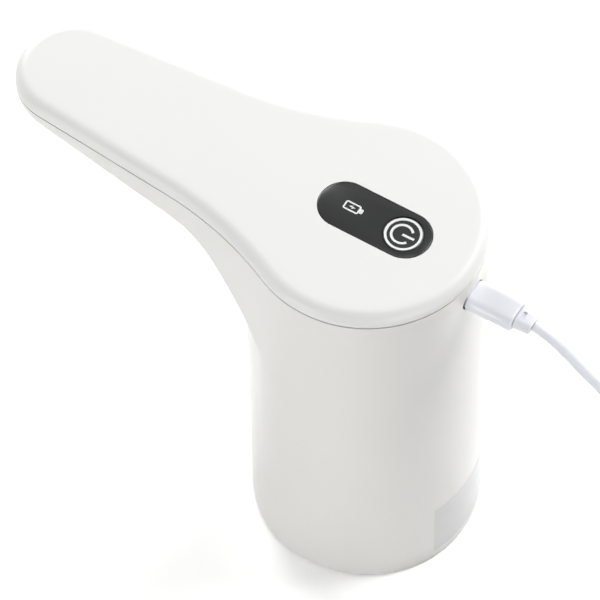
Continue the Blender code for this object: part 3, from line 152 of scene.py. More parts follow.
def around(tree, value, middle, spread):
    """Turns 0 to 1 into the range around a middle."""
    inputs = {"Value": value, "To Min": middle - spread, "To Max": middle + spread}
    return add_node(tree, "ShaderNodeMapRange", inputs=inputs).outputs[0]


def bumps(tree, height, strength, depth_mm):
    inputs = {"Height": height, "Strength": strength, "Distance": depth_mm / 1000}
    return add_node(tree, "ShaderNodeBump", inputs=inputs).outputs[0]


def maths(tree, operation, *values):
    return add_node(tree, "ShaderNodeMath", {"operation": operation}, dict(enumerate(values))).outputs[0]


def end_material(tree, shader):
    add_node(tree, "ShaderNodeOutputMaterial", inputs={"Surface": shader})


def principled(tree, inputs):
    """Ends a material in the usual shader, with these inputs."""
    end_material(tree, add_node(tree, "ShaderNodeBsdfPrincipled", inputs=inputs).outputs[0])


print("white paint, linear:", [round(v, 3) for v in linear("#f4f4f4")])

# %% [markdown]
# ## Moulded plastic
#
# Nearly every outer piece is injection-moulded plastic. Seen close up it is never one flat colour: the
# polish of the tool leaves a faint grain in the gloss, and the melt leaves very wide, very weak clouds. So
# each plastic gets three noises in Object coordinates: clouds in the colour, patches in the roughness and a
# fine grain in the bump. The same recipe with other numbers gives satin ABS, glossy polycarbonate and soft
# cable jacket.

# %% Moulded plastic recipe
PATCH_MM = 4.0
GRAIN_STRENGTH = 0.35


def moulded_plastic(name, colour, cloud_colour, roughness, ior=1.53, grain_mm=0.35, grain_depth_mm=0.004,
                    cloud_mm=30.0, patch=0.05, sheen=0.0):
    material, tree, place = new_material(name)
    principled(tree, {
        "Base Color": tint(tree, noise(tree, place, cloud_mm), colour, cloud_colour),
        "Roughness": around(tree, noise(tree, place, PATCH_MM, 3.0), roughness, patch),
        "IOR": ior,
        "Normal": bumps(tree, noise(tree, place, grain_mm), GRAIN_STRENGTH, grain_depth_mm),
        "Sheen Weight": sheen,
    })
    return material


# The lid is a bright, neutral white ABS with a satin polish.
LID_ABS = moulded_plastic("lid_abs_satin_white", "#f5f5f4", "#f3f3f2", 0.42)
# The body is the same plastic, one shade warmer.
BODY_ABS = moulded_plastic("body_abs_satin_white", "#f0efec", "#eeedea", 0.36)
# The panel is clear polycarbonate, printed black on its back, so it is glossy and a little grey.
PANEL_PC = moulded_plastic("panel_polycarbonate_black", "#121314", "#151617", 0.16, ior=1.50, patch=0.02,
                           grain_depth_mm=0.001)
# The key is the same black, with a softer polish from being dished.
KEY_PC = moulded_plastic("key_polycarbonate_black", "#18191a", "#1b1c1d", 0.22, ior=1.50, patch=0.02,
                         grain_depth_mm=0.001)
# The printed signs are a thick white screen ink, smooth but not shiny.
PRINT_INK = moulded_plastic("white_screen_ink", "#f7f8f8", "#f2f3f4", 0.40, patch=0.03, grain_mm=0.12)
# The lead's plugs and jacket are a cool white thermoplastic elastomer, softer and duller than the shell.
PLUG_TPE = moulded_plastic("plug_tpe_cool_white", "#f4f5fb", "#f1f2fa", 0.30, ior=1.50)
CORD_TPE = moulded_plastic("cord_tpe_cool_white", "#f5f6fc", "#f1f3fa", 0.38, ior=1.50, sheen=0.05)
# The inner frame, pump and battery sleeve are plain grey-white ABS straight from the tool.
INNER_ABS = moulded_plastic("inner_abs_grey", "#cfd1d2", "#c8cacb", 0.50)
COLLAR_PP = moulded_plastic("collar_polypropylene_white", "#e9e9e7", "#e3e3e1", 0.45, ior=1.49)
# Food-grade silicone is a little milky and has a dull, slightly velvety surface.
SILICONE = moulded_plastic("silicone_milky", "#e2e5e4", "#d9dddc", 0.55, ior=1.43, sheen=0.15, grain_mm=0.2)
CHIP_EPOXY = moulded_plastic("chip_epoxy_black", "#1a1a1b", "#242425", 0.50)
CELL_SLEEVE = moulded_plastic("cell_sleeve_blue_film", "#2b5c92", "#27568a", 0.28, patch=0.04)
print("materials with the plastics:", len(bpy.data.materials))

# %% [markdown]
# ## Metals, board and label
#
# Drawn metals carry fine lines along the piece, so their noise is stretched twenty to fifty times one way,
# and plated ones are even. A circuit board is glass cloth under green lacquer: a fine weave shows through
# the gloss. The rating label is a greyish white polyester film.

# %% Metal recipe
METAL_PATCH = 0.08
LINE_DEPTH_MM = 0.01


def drawn_metal(name, colour, roughness, line_mm, stretch):
    material, tree, place = new_material(name)
    along = add_node(tree, "ShaderNodeMapping", inputs={"Vector": place, "Scale": stretch}).outputs[0]
    lines = noise(tree, along, line_mm)
    principled(tree, {
        "Base Color": linear(colour),
        "Metallic": 1.0,
        "Roughness": around(tree, lines, roughness, METAL_PATCH),
        "Normal": bumps(tree, lines, 0.2, LINE_DEPTH_MM),
    })
    return material


# The spout is drawn stainless steel tube, so its lines run up and down.
STAINLESS = drawn_metal("stainless_drawn_tube", "#d2d1cf", 0.24, 0.15, (1.0, 1.0, 0.02))
# Screws, contacts and connector shells are nickel-plated: smoother, and a touch warmer.
NICKEL = drawn_metal("nickel_plated_steel", "#cfccc6", 0.28, 0.20, (1.0, 1.0, 1.0))
MOTOR_STEEL = drawn_metal("motor_can_zinc_steel", "#b2b4b6", 0.36, 0.30, (1.0, 1.0, 0.05))


# %% Board and label
WEAVE_MM = 5.0
FILM_PATCH_MM = 6.0
FILM_DEPTH_MM = 0.02


def board_lacquer():
    material, tree, place = new_material("circuit_board_green_lacquer")
    bands = {"wave_type": "BANDS", "bands_direction": "DIAGONAL"}
    inputs = {"Vector": place, "Scale": 1000 / WEAVE_MM, "Distortion": 0.4}
    weave = add_node(tree, "ShaderNodeTexWave", bands, inputs).outputs["Fac"]
    principled(tree, {"Base Color": tint(tree, weave, "#1d5a38", "#236640"), "Roughness": 0.35, "IOR": 1.52})
    return material


def label_film():
    material, tree, place = new_material("label_polyester_white_film")
    flow = noise(tree, place, FILM_PATCH_MM, 3.0)
    principled(tree, {
        "Base Color": tint(tree, flow, "#dfdfdf", "#d7d8d8"),
        "Roughness": 0.34,
        "IOR": 1.57,
        "Normal": bumps(tree, flow, 0.3, FILM_DEPTH_MM),
    })
    return material


BOARD_GREEN = board_lacquer()
LABEL_FILM = label_film()
print("materials so far:", len(bpy.data.materials))

# %% [markdown]
# ## From points to pieces
#
# All pieces but the lead's jacket are first built about the body's own axis, where the numbers are simple.
# Then finish_piece moves the mesh into place, gives it its finish and lets it ride on its body. Smooth
# shading is broken only at real edges.

# %% Piece helpers
SMOOTH_ANGLE = math.radians(32)
SAME_POINT = 1e-7
SLIVER = 0.000003


def weld(bm, reach):
    """Joins corners that are this close, and takes out what this leaves without a size."""
    bmesh.ops.remove_doubles(bm, verts=bm.verts, dist=reach)
    bmesh.ops.dissolve_degenerate(bm, edges=bm.edges, dist=reach)


def mesh_object(bm, name):
    weld(bm, SAME_POINT)
    bmesh.ops.recalc_face_normals(bm, faces=bm.faces)
    mesh = bpy.data.meshes.new(name)
    bm.to_mesh(mesh)
    bm.free()
    return add_object(name, mesh)


def bake(obj):
    """Takes the shape that the modifiers make as the object's own mesh."""
    graph = bpy.context.evaluated_depsgraph_get()
    mesh = bpy.data.meshes.new_from_object(obj.evaluated_get(graph))
    obj.modifiers.clear()
    obj.data = mesh
    return obj


def clean(obj):
    """Takes out the slivers that a cut leaves, so that every edge has two faces."""
    bm = bmesh.new()
    bm.from_mesh(obj.data)
    weld(bm, SLIVER)
    bm.to_mesh(obj.data)
    bm.free()
    return obj


def combine(obj, tools, operation):
    for tool in tools:
        boolean = obj.modifiers.new(operation.lower(), "BOOLEAN")
        boolean.operation = operation
        boolean.solver = "EXACT"
        boolean.object = tool
    clean(bake(obj))
    for tool in tools:
        bpy.data.objects.remove(tool, do_unlink=True)
    return obj


def finish_piece(obj, material, body, replaced=(), place=Matrix.Identity(4), smooth=SMOOTH_ANGLE):
    obj.data.transform(Matrix.Translation(BODY_AXIS) @ place)
    obj.data.materials.clear()
    obj.data.materials.append(material)
    obj.data.shade_smooth()
    obj.data.set_sharp_from_angle(angle=smooth)
    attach(obj, body)
    if replaced:
        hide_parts(*replaced)
    return obj


def loft(name, rings, closed=False):
    """Skins rings of as many points each. The ends are capped, or the last ring joins the first."""
    bm = bmesh.new()
    rows = [[bm.verts.new(point) for point in ring] for ring in rings]
    pairs = list(zip(rows, rows[1:])) + ([(rows[-1], rows[0])] if closed else [])
    for lower, upper in pairs:
        for k in range(len(lower)):
            after = (k + 1) % len(lower)
            bm.faces.new((lower[k], lower[after], upper[after], upper[k]))
    if not closed:
        bm.faces.new(rows[0])
        bm.faces.new(rows[-1])
    return mesh_object(bm, name)


def turned(name, profile, steps=96):
    """A closed (radius, height) outline turned about Z, as on a lathe."""
    bm = bmesh.new()
    corners = [bm.verts.new((radius, 0.0, height)) for radius, height in profile]
    pairs = zip(corners, corners[1:] + corners[:1])
    edges = [bm.edges.new((a, b)) for a, b in pairs if a.co.x > 0.0 or b.co.x > 0.0]
    bmesh.ops.spin(bm, geom=corners + edges, cent=(0, 0, 0), axis=(0, 0, 1), angle=math.tau, steps=steps,
                   use_merge=True)
    return mesh_object(bm, name)


def stadium(half_span, radius, steps=40):
    """A slot's outline with round ends, its long side along the first axis."""
    points = []
    for side in (1, -1):
        for k in range(steps + 1):
            angle = math.pi * (k / steps - 0.5)
            points.append((side * (half_span + radius * math.cos(angle)), side * radius * math.sin(angle)))
    return points


# %% [markdown]
# ## Shapes that follow a rule
#
# A cord, a ring of ribs and a set of like screws each follow a rule, so node groups make them. The sizes
# are the group's named inputs. Every group ends in real faces with their finish, and the result is kept as
# the piece's own mesh.

# %% Node groups for shapes
FLOAT = "NodeSocketFloat"
WHOLE = "NodeSocketInt"
OBJECT = "NodeSocketObject"
MATERIAL = "NodeSocketMaterial"


def shape_group(name, sizes):
    """A group that takes a mesh, named sizes and a finish."""
    tree = bpy.data.node_groups.new(name, "GeometryNodeTree")
    tree.interface.new_socket("Geometry", in_out="OUTPUT", socket_type="NodeSocketGeometry")
    tree.interface.new_socket("Geometry", in_out="INPUT", socket_type="NodeSocketGeometry")
    for label, kind in {**sizes, "Finish": MATERIAL}.items():
        tree.interface.new_socket(label, in_out="INPUT", socket_type=kind)
    return tree, tree.nodes.new("NodeGroupInput")


def end_group(tree, geometry, sizes):
    """Real faces, then the finish."""
    real = add_node(tree, "GeometryNodeRealizeInstances", inputs={"Geometry": geometry})
    finished = add_node(tree, "GeometryNodeSetMaterial", inputs={
        "Geometry": real.outputs["Geometry"],
        "Material": sizes.outputs["Finish"],
    })
    add_node(tree, "NodeGroupOutput", inputs={"Geometry": finished.outputs["Geometry"]})
    return tree


def grow(obj, tree, values):
    """Sets the group's inputs by their identifiers, runs it and keeps what it makes."""
    modifier = obj.modifiers.new(tree.name, "NODES")
    modifier.node_group = tree
    for socket in tree.interface.items_tree:
        if socket.in_out == "INPUT" and socket.name in values:
            modifier[socket.identifier] = values[socket.name]
    return clean(bake(obj))


def points_object(name, points, joined=False):
    """A mesh of bare points, or of points joined into one line."""
    edges = list(zip(range(len(points) - 1), range(1, len(points)))) if joined else []
    mesh = bpy.data.meshes.new(name)
    mesh.from_pydata([tuple(point) for point in points], edges, [])
    return add_object(name, mesh)


# %% [markdown]
# ## The charging lead
#
# About 60 mm of the lead shows in the picture: it leaves the plug's bent relief, droops and runs out of the
# frame. Such leads are about 0.6 m long. The rest falls to the floor and lies in a small round coil, with
# the wide plug of its far end beside it. A lead is one smooth line, so a node group sweeps a round section
# along it: the points of the route first, then the coil by formula. The coil winds inwards on the floor,
# climbs one layer while it turns back, and winds outwards on top, so its turns lie 4 mm apart, a little
# more than the cord's thickness.

# %% Lead route and coil
PORT_Z = 0.1385
BODY_RADIUS = 0.0385
PLUG_SEAT = 0.0007
PLUG_LENGTH = 0.0166
RELIEF_LENGTH = 0.0053
RELIEF_DROOP = math.radians(8)
TOUCH = 0.0003
CORD_DIAMETER = 0.0035
CORD_ROUTE = (
    (0.0628, 0.0, 0.1377),
    (0.0665, 0.0, 0.1361),
    (0.0701, 0.0, 0.1337),
    (0.0739, 0.0, 0.1307),
    (0.0776, 0.0, 0.1278),
    (0.0812, 0.0, 0.1249),
    (0.0847, 0.0, 0.1226),
    (0.0893, 0.0, 0.1170),
    (0.0931, 0.0, 0.1080),
    (0.0955, 0.0, 0.0950),
    (0.0969, 0.0, 0.0801),
    (0.0975, 0.0, 0.0620),
    (0.0976, 0.0, 0.0440),
    (0.0976, 0.0, 0.0301),
    (0.0977, 0.0, 0.0179),
    (0.0989, 0.0, 0.0116),
    (0.1024, 0.0, 0.0064),
    (0.1076, 0.0, 0.0030),
)
COIL_X = 0.1191
COIL_TURN_RADIUS = 0.01925
COIL_TURNS = 3.5
COIL_CLIMB = 0.5
COIL_SPACING = 0.0040
COIL_TAIL = 0.0090
COIL_POINTS = 48
TAIL_STEPS = 8
ROUTE_STEPS = 6
FAR_HEIGHT = 0.0082


def smooth_path(points, steps):
    """Points along a Catmull-Rom curve through the route's own points."""
    route = [Vector(point) for point in points]
    padded = [2 * route[0] - route[1], *route, 2 * route[-1] - route[-2]]
    path = []
    for before, start, end, after in zip(padded, padded[1:], padded[2:], padded[3:]):
        for k in range(steps):
            t = k / steps
            second = (2 * before - 5 * start + 4 * end - after) * t**2
            third = (3 * start - before - 3 * end + after) * t**3
            path.append(0.5 * (2 * start + (end - before) * t + second + third))
    return [*path, route[-1]]


def coil_path():
    outer = COIL_TURN_RADIUS + COIL_SPACING * COIL_TURNS / 4
    total, climb = math.tau * COIL_TURNS, math.tau * COIL_CLIMB
    rate = COIL_SPACING / math.tau
    inner = outer - rate * total / 2
    path = [Vector((-CORD_DIAMETER, outer, 0.0)), Vector((-CORD_DIAMETER / 2, outer, 0.0))]
    steps = round(COIL_TURNS * COIL_POINTS)
    for k in range(steps + 1):
        turned_by = total * k / steps
        radius = inner + rate * abs(turned_by - total / 2)
        share = min(max((turned_by - (total - climb) / 2) / climb, 0.0), 1.0)
        angle = math.pi / 2 - turned_by
        height = COIL_SPACING * share * share * (3 - 2 * share)
        path.append(Vector((radius * math.cos(angle), radius * math.sin(angle), height)))
    last = path[-1]
    drop = CORD_DIAMETER / 2 + last.z - FAR_HEIGHT / 2
    for k in range(1, TAIL_STEPS + 1):
        share = k / TAIL_STEPS
        path.append(last + Vector((-COIL_TAIL * share, 0.0, -drop * share * share * (3 - 2 * share))))
    path.append(path[-1] + Vector((-CORD_DIAMETER, 0.0, 0.0)))
    return [Vector((COIL_X, -outer, CORD_DIAMETER / 2)) + point for point in path]


def drooped(point):
    """Where a point of the straight relief comes to once the cord's weight has bent it down."""
    angle = RELIEF_DROOP * point.x / RELIEF_LENGTH
    radius = RELIEF_LENGTH / RELIEF_DROOP
    reach = radius + point.z
    return Vector((reach * math.sin(angle), point.y, reach * math.cos(angle) - radius))


RELIEF_START = Vector((BODY_RADIUS - PLUG_SEAT + PLUG_LENGTH + TOUCH, 0.0, PORT_Z))
RELIEF_END = RELIEF_START + drooped(Vector((RELIEF_LENGTH, 0.0, 0.0)))
AWAY = Vector((math.cos(RELIEF_DROOP), 0.0, -math.sin(RELIEF_DROOP)))
COIL = coil_path()
meeting = COIL[0] - Vector((TOUCH, 0.0, 0.0))
FREE_RUN = smooth_path([RELIEF_END + TOUCH * AWAY, *CORD_ROUTE,
                        meeting - Vector((CORD_DIAMETER, 0.0, 0.0)), meeting], ROUTE_STEPS)
for point in FREE_RUN:
    point.z = max(point.z, CORD_DIAMETER / 2)
LEAD_LINE = [point + BODY_AXIS for point in FREE_RUN + COIL]


# %% Lead jacket
CORD_SIDES = 32
RING_SPACING = 0.0005
CORD_EASING = 16


def sweep_group():
    """A round section swept along a smooth line through the points that come in, closed at both ends."""
    tree, sizes = shape_group("round_sweep", {
        "Radius": FLOAT,
        "Sides": WHOLE,
        "Ring spacing": FLOAT,
        "Easing": WHOLE,
    })
    route = add_node(tree, "GeometryNodeMeshToCurve", inputs={"Mesh": sizes.outputs["Geometry"]})
    smooth = add_node(tree, "GeometryNodeCurveSplineType", {"spline_type": "CATMULL_ROM"}, {
        "Curve": route.outputs["Curve"],
    })
    line = add_node(tree, "GeometryNodeResampleCurve", {"mode": "LENGTH"}, {
        "Curve": smooth.outputs["Curve"],
        "Length": sizes.outputs["Ring spacing"],
    })
    # The jacket is stiff and rounds off small kinks in the route, but its two ends stay where they are.
    eased = add_node(tree, "GeometryNodeBlurAttribute", {"data_type": "FLOAT_VECTOR"}, {
        "Value": add_node(tree, "GeometryNodeInputPosition").outputs[0],
        "Iterations": sizes.outputs["Easing"],
    })
    ends = add_node(tree, "GeometryNodeCurveEndpointSelection")
    between = add_node(tree, "FunctionNodeBooleanMath", {"operation": "NOT"}, {0: ends.outputs[0]})
    line = add_node(tree, "GeometryNodeSetPosition", inputs={
        "Geometry": line.outputs["Curve"],
        "Selection": between.outputs[0],
        "Position": eased.outputs["Value"],
    })
    section = add_node(tree, "GeometryNodeCurvePrimitiveCircle", inputs={
        "Resolution": sizes.outputs["Sides"],
        "Radius": sizes.outputs["Radius"],
    })
    tube = add_node(tree, "GeometryNodeCurveToMesh", inputs={
        "Curve": line.outputs["Geometry"],
        "Profile Curve": section.outputs["Curve"],
        "Fill Caps": True,
    })
    return end_group(tree, tube.outputs["Mesh"], sizes)


def make_lead():
    lead = points_object("lead_jacket", LEAD_LINE, joined=True)
    grow(lead, sweep_group(), {
        "Radius": CORD_DIAMETER / 2,
        "Sides": CORD_SIDES,
        "Ring spacing": RING_SPACING,
        "Easing": CORD_EASING,
        "Finish": CORD_TPE,
    })
    lead.data.shade_smooth()
    lead.data.set_sharp_from_angle(angle=SMOOTH_ANGLE)
    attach(lead, "charging_lead")
    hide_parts("charge_cord", "cord_coil")
    return lead


lead_jacket = make_lead()

# %% [markdown]
# ## The shape of the plan
#
# Seen from above, lid and body share one outline: a round tip, two straight sides that spread a little, a
# wide hollow blend on each side, and the round body. Every ring of the lid and the body is this outline
# moved inwards by some amount, so one set of functions serves both.

# %% Plan outline
BODY_HEIGHT = 0.1525
BODY_TAPER = 0.0015
BASE_ROUND = 0.0015
WALL = 0.0022
SEAM_Z = BODY_HEIGHT - 0.0052
SEAM_GAP = 0.0005
ARM_LENGTH = 0.1075
TIP_RADIUS = 0.0186
ARM_FLARE = math.radians(4.88)
NECK_BLEND = 0.121
ARM_DEPTH = 0.0133
ARM_SLOPE = math.radians(8)
BRACE_SLOPE = math.radians(47)
BRACE_REACH = 0.048
BRACE_FILLET = 0.030
ARM_ROUND = 0.0055

FRONT_STEPS = 64
BACK_STEPS = 24
FILLET_STEPS = 16
ARM_STEPS = 12
TIP_STEPS = 24
ROUND_STEPS = 10
LAST_STATION = 0.1


def blend_circle():
    side = Vector((math.cos(ARM_FLARE), math.sin(ARM_FLARE)))
    out = Vector((-side.y, side.x))
    start = Vector((-ARM_LENGTH, 0.0)) + (TIP_RADIUS + NECK_BLEND) * out
    along = start.dot(side)
    reach = BODY_RADIUS + NECK_BLEND
    centre = start + (-along - math.sqrt(along**2 - start.length_squared + reach**2)) * side
    return centre, math.atan2(centre.y, centre.x)


BLEND_CENTRE, BLEND_ANGLE = blend_circle()
BACK_ANGLES = [BLEND_ANGLE + (math.pi - BLEND_ANGLE) * k / BACK_STEPS for k in range(BACK_STEPS + 1)]


def half_width(x, inset):
    radius = NECK_BLEND + inset
    if x > BLEND_CENTRE.x + radius * math.sin(ARM_FLARE):
        return BLEND_CENTRE.y - math.sqrt(radius**2 - (x - BLEND_CENTRE.x) ** 2)
    return (TIP_RADIUS - inset) / math.cos(ARM_FLARE) + (x + ARM_LENGTH) * math.tan(ARM_FLARE)


def taper_at(z):
    return BODY_TAPER * (SEAM_Z - z) / SEAM_Z


def front_points(inset):
    radius = BODY_RADIUS - inset
    angles = [BLEND_ANGLE * k / FRONT_STEPS for k in range(FRONT_STEPS + 1)]
    return [(radius * math.cos(angle), radius * math.sin(angle)) for angle in angles]


def tip_points(inset):
    radius = TIP_RADIUS - inset
    first = math.pi / 2 + ARM_FLARE
    angles = [first + (math.pi - first) * k / TIP_STEPS for k in range(TIP_STEPS + 1)]
    return [(-ARM_LENGTH + radius * math.cos(angle), radius * math.sin(angle)) for angle in angles]


def arm_stations(back_x):
    fillet_x = -BRACE_REACH - BRACE_FILLET * math.sin((ARM_SLOPE + BRACE_SLOPE) / 2) / 2
    last = -ARM_LENGTH + TIP_RADIUS * LAST_STATION
    near = [back_x + (fillet_x - back_x) * k / FILLET_STEPS for k in range(1, FILLET_STEPS + 1)]
    far = [fillet_x + (last - fillet_x) * k / ARM_STEPS for k in range(1, ARM_STEPS + 1)]
    return near + far


def plan_ring(inset, z):
    sides = [(x, half_width(x, inset)) for x in [BODY_RADIUS * math.cos(a) for a in BACK_ANGLES[1:]]]
    sides += [(x, half_width(x, inset)) for x in arm_stations(-BODY_RADIUS)]
    half = front_points(inset) + sides + tip_points(inset)
    return [(x, y, z) for x, y in half] + [(x, -y, z) for x, y in half[-2:0:-1]]


print(f"plan: the hollow blend meets the body at {math.degrees(BLEND_ANGLE):.0f} degrees")

# %% [markdown]
# ## The body and its arm
#
# The body and the arm are one moulding. The underside of the arm slopes gently down from the tip, turns
# through a fillet and runs steeply into the round body as a brace. The lower edge of the arm is rounded all
# along, and the rounding fades out where the brace meets the body. Such a form is easier to write down than
# to sculpt: for each place along the arm there is a column of points down the wall and round the edge, and
# the columns are skinned. The same function with a smaller outline gives the hollow inside, which is cut
# away.

# %% Arm underside
CREASE_TRIES = 12


def underside(x, lift=0.0):
    tip_z = BODY_HEIGHT - ARM_DEPTH
    corner_z = tip_z - math.tan(ARM_SLOPE) * (ARM_LENGTH - BRACE_REACH)
    lean = (ARM_SLOPE + BRACE_SLOPE) / 2
    away = BRACE_FILLET / math.cos((BRACE_SLOPE - ARM_SLOPE) / 2)
    centre_x = -BRACE_REACH - away * math.sin(lean)
    centre_z = corner_z - away * math.cos(lean)
    radius = BRACE_FILLET + lift
    if x < centre_x + radius * math.sin(ARM_SLOPE):
        return tip_z - math.tan(ARM_SLOPE) * (x + ARM_LENGTH) + lift / math.cos(ARM_SLOPE)
    if x > centre_x + radius * math.sin(BRACE_SLOPE):
        return corner_z - math.tan(BRACE_SLOPE) * (x + BRACE_REACH) + lift / math.cos(BRACE_SLOPE)
    return centre_z + math.sqrt(radius**2 - (x - centre_x) ** 2)


def crease_points(inset):
    """Where the underside meets the round body, from the blend's edge to the arm's middle."""
    points = []
    for angle in BACK_ANGLES:
        z = SEAM_Z / 2
        for _ in range(CREASE_TRIES):
            radius = BODY_RADIUS - inset - taper_at(z)
            z = underside(radius * math.cos(angle), inset)
        points.append((radius * math.cos(angle), radius * math.sin(angle), z))
    return points


print(f"arm: {(BODY_HEIGHT - underside(-0.060)) * 1000:.0f} mm deep half way along")


# %% Skin of the body
LEAST_EDGE = 0.0004


class Skin:
    """Collects faces whose corners are named by their place, so that shared corners are one vertex."""

    def __init__(self):
        self.bm = bmesh.new()
        self.corners = {}

    def face(self, *points):
        corners = []
        for point in points:
            key = tuple(round(value * 1e7) for value in point)
            if key not in self.corners:
                self.corners[key] = self.bm.verts.new(point)
            if self.corners[key] not in corners:
                corners.append(self.corners[key])
        if len(corners) > 2:
            self.bm.faces.new(corners)

    def both_sides(self, first, second):
        for one, two in ((first, second), (mirrored(first), mirrored(second))):
            for k in range(len(one) - 1):
                self.face(one[k], one[k + 1], two[k + 1], two[k])


def mirrored(points):
    return [(x, -y, z) for x, y, z in points]


def body_columns(inset, top, crease, stations, lip):
    """Lines of points down the walls and round the arm's lower edge, from the port's side to the tip."""
    fall = ARM_ROUND - inset
    turns = [math.pi / 2 * k / ROUND_STEPS for k in range(ROUND_STEPS + 1)]
    rims = [(lip, top), (0.0, top - lip)] if lip else [(0.0, top)]
    columns = []
    for step in range(FRONT_STEPS + 1):
        line = [(*front_points(inset + shift)[step], z) for shift, z in rims]
        for turn in turns:
            z = crease[0][2] + fall * (1 - math.sin(turn))
            line.append((*front_points(inset + taper_at(z))[step], z))
        columns.append(line)
    columns[-1][-1] = crease[0]
    for k, x in enumerate(stations):
        floor = underside(x, inset)
        across = half_width(x, inset)
        if k < BACK_STEPS:
            across = half_width(x, inset + taper_at(crease[k + 1][2])) - crease[k + 1][1]
        line = [(x, half_width(x, inset + shift), z) for shift, z in rims]
        for turn in turns:
            z = floor + fall * (1 - math.sin(turn))
            line.append((x, half_width(x, inset + taper_at(z) + min(fall, across) * (1 - math.cos(turn))), z))
        if across <= fall:
            line[-1] = crease[k + 1]
        columns.append(line)
    for step in range(TIP_STEPS + 1):
        line = [(*tip_points(inset + shift)[step], z) for shift, z in rims]
        for turn in turns:
            inwards = inset + fall * (1 - math.cos(turn))
            z = underside(tip_points(inwards)[step][0], inset) + fall * (1 - math.sin(turn))
            line.append((*tip_points(inwards + taper_at(z))[step], min(z, top - 2 * lip - LEAST_EDGE)))
        columns.append(line)
    return columns


# %% Body form
FOOT_STEPS = 8


def body_form(name, inset, top, bottom, foot_round, lip=0.0):
    crease = crease_points(inset)
    stations = [x for x, _, _ in crease[1:]]
    stations += arm_stations(stations[-1])
    columns = body_columns(inset, top, crease, stations, lip)
    skin = Skin()
    for here, after in zip(columns, columns[1:]):
        skin.both_sides(here, after)
    edge = [line[-1] for line in columns]
    beside = edge[FRONT_STEPS:FRONT_STEPS + BACK_STEPS + 1]
    beyond = edge[FRONT_STEPS + BACK_STEPS:]
    skin.both_sides(beside, crease)
    for k in range(len(beyond) - 1):
        near, far = mirrored(beyond[k:k + 2])
        middle = [crease[-1]] if k == 0 else []
        skin.face(beyond[k + 1], beyond[k], *middle, near, far)
    rim = edge[:FRONT_STEPS] + crease
    angles = [math.atan2(y, x) for x, y, _ in rim]
    levels = [rim]
    foot_steps = FOOT_STEPS if foot_round else 0
    for k in range(foot_steps + 1):
        turn = math.pi / 2 * k / max(foot_steps, 1)
        z = bottom + foot_round * (1 - math.sin(turn))
        radius = BODY_RADIUS - inset - taper_at(z) - foot_round * (1 - math.cos(turn))
        levels.append([(radius * math.cos(angle), radius * math.sin(angle), z) for angle in angles])
    for upper, lower in zip(levels, levels[1:]):
        skin.both_sides(upper, lower)
    skin.face(*levels[-1], *mirrored(levels[-1])[-2:0:-1])
    lid_line = [line[0] for line in columns]
    skin.face(*lid_line, *mirrored(lid_line)[-2:0:-1])
    return mesh_object(skin.bm, name)


# %% Cut the hollow, the spout hole and the port
PLUG_WIDTH = 0.0108
PLUG_HEIGHT = 0.0064
PORT_GAP = 0.0003
SPOUT_RADIUS = 0.0050
SEAM_LIP = 0.00012


def upright(name, half_span, radius, bottom, top, centre_x, steps=40):
    outline = stadium(half_span, radius, steps)
    return loft(name, [[(centre_x + x, y, z) for x, y in outline] for z in (bottom, top)])


def lying(name, width, height, stations, steps=24):
    """A round-sided bar along X: each station gives its x and the scale of its section there."""
    outline = stadium((width - height) / 2, height / 2, steps)
    return loft(name, [[(x, scale * y, scale * z) for y, z in outline] for x, scale in stations])


def make_body():
    shell = body_form("body_shell", 0.0, SEAM_Z, 0.0, BASE_ROUND, SEAM_LIP)
    room = body_form("room", WALL, SEAM_Z + WALL, -WALL, 0.0)
    combine(shell, [room], "DIFFERENCE")
    port = lying("port", PLUG_WIDTH + 2 * PORT_GAP, PLUG_HEIGHT + 2 * PORT_GAP,
                 [(BODY_RADIUS - 3 * WALL, 1.0), (BODY_RADIUS + 3 * WALL, 1.0)])
    port.data.transform(Matrix.Translation((0.0, 0.0, PORT_Z)))
    hole = upright("hole", 0.0, SPOUT_RADIUS + TOUCH, SEAM_Z - 2 * ARM_DEPTH, SEAM_Z, -ARM_LENGTH)
    combine(shell, [port, hole], "DIFFERENCE")
    return finish_piece(shell, BODY_ABS, "housing", ["main_housing"])


body_shell = make_body()
print("body:", len(body_shell.data.polygons), "faces")

# %% [markdown]
# ## The lid
#
# The lid is a flat plate with a wide quarter-round edge. A thin line of shadow parts it from the body.
# Under it a short wall drops inside the body, which keeps the light out of that line. The flat top carries
# one extra ring of points just inside the rounding, so that the smooth shading of the edge doesn't spread
# over the top.

# %% Lid
LID_ROUND = 0.0042
LID_WALL = 0.0038
LID_BASE = SEAM_Z + SEAM_GAP
LID_RISE = 0.0040
LID_CEILING = BODY_HEIGHT - 0.0025
PANEL_X = 0.00273
PANEL_HALF_SPAN = 0.01089
PANEL_RADIUS = 0.00845
PANEL_LEDGE = 0.0012
PANEL_RECESS = 0.0015
TONGUE_INSET = WALL + TOUCH
TONGUE_WIDTH = 0.0011
TONGUE_REACH = 0.0850
TONGUE_DROP = 0.0023
TONGUE_SINK = 0.0010
EDGE_STEPS = 12
FLAT_MARGIN = 0.0005
BOARD_SCREW_PLACES = (-0.0195, 0.0245)
SCREW_HOLE = 0.0013
PILOT_DEPTH = 0.0065
POST_RADIUS = 0.0022
POST_DROP = 0.0059
POST_SINK = 0.0005
POST_STEPS = 12


def lid_tongue():
    rails = []
    for inset in (TONGUE_INSET, TONGUE_INSET + TONGUE_WIDTH):
        half = [(x, y) for x, y, _ in plan_ring(inset, 0.0) if x > -TONGUE_REACH]
        half = half[:len(half) // 2 + 1]
        rails.append([(x, -y) for x, y in half[:0:-1]] + half)
    low, high = LID_BASE - TONGUE_DROP, LID_BASE + TONGUE_SINK
    return loft("tongue", [[(*a, low), (*b, low), (*b, high), (*a, high)] for a, b in zip(*rails)])


def at_board_screws(name, radius, bottom, top):
    return [upright(name, 0.0, radius, bottom, top, x, POST_STEPS) for x in BOARD_SCREW_PLACES]


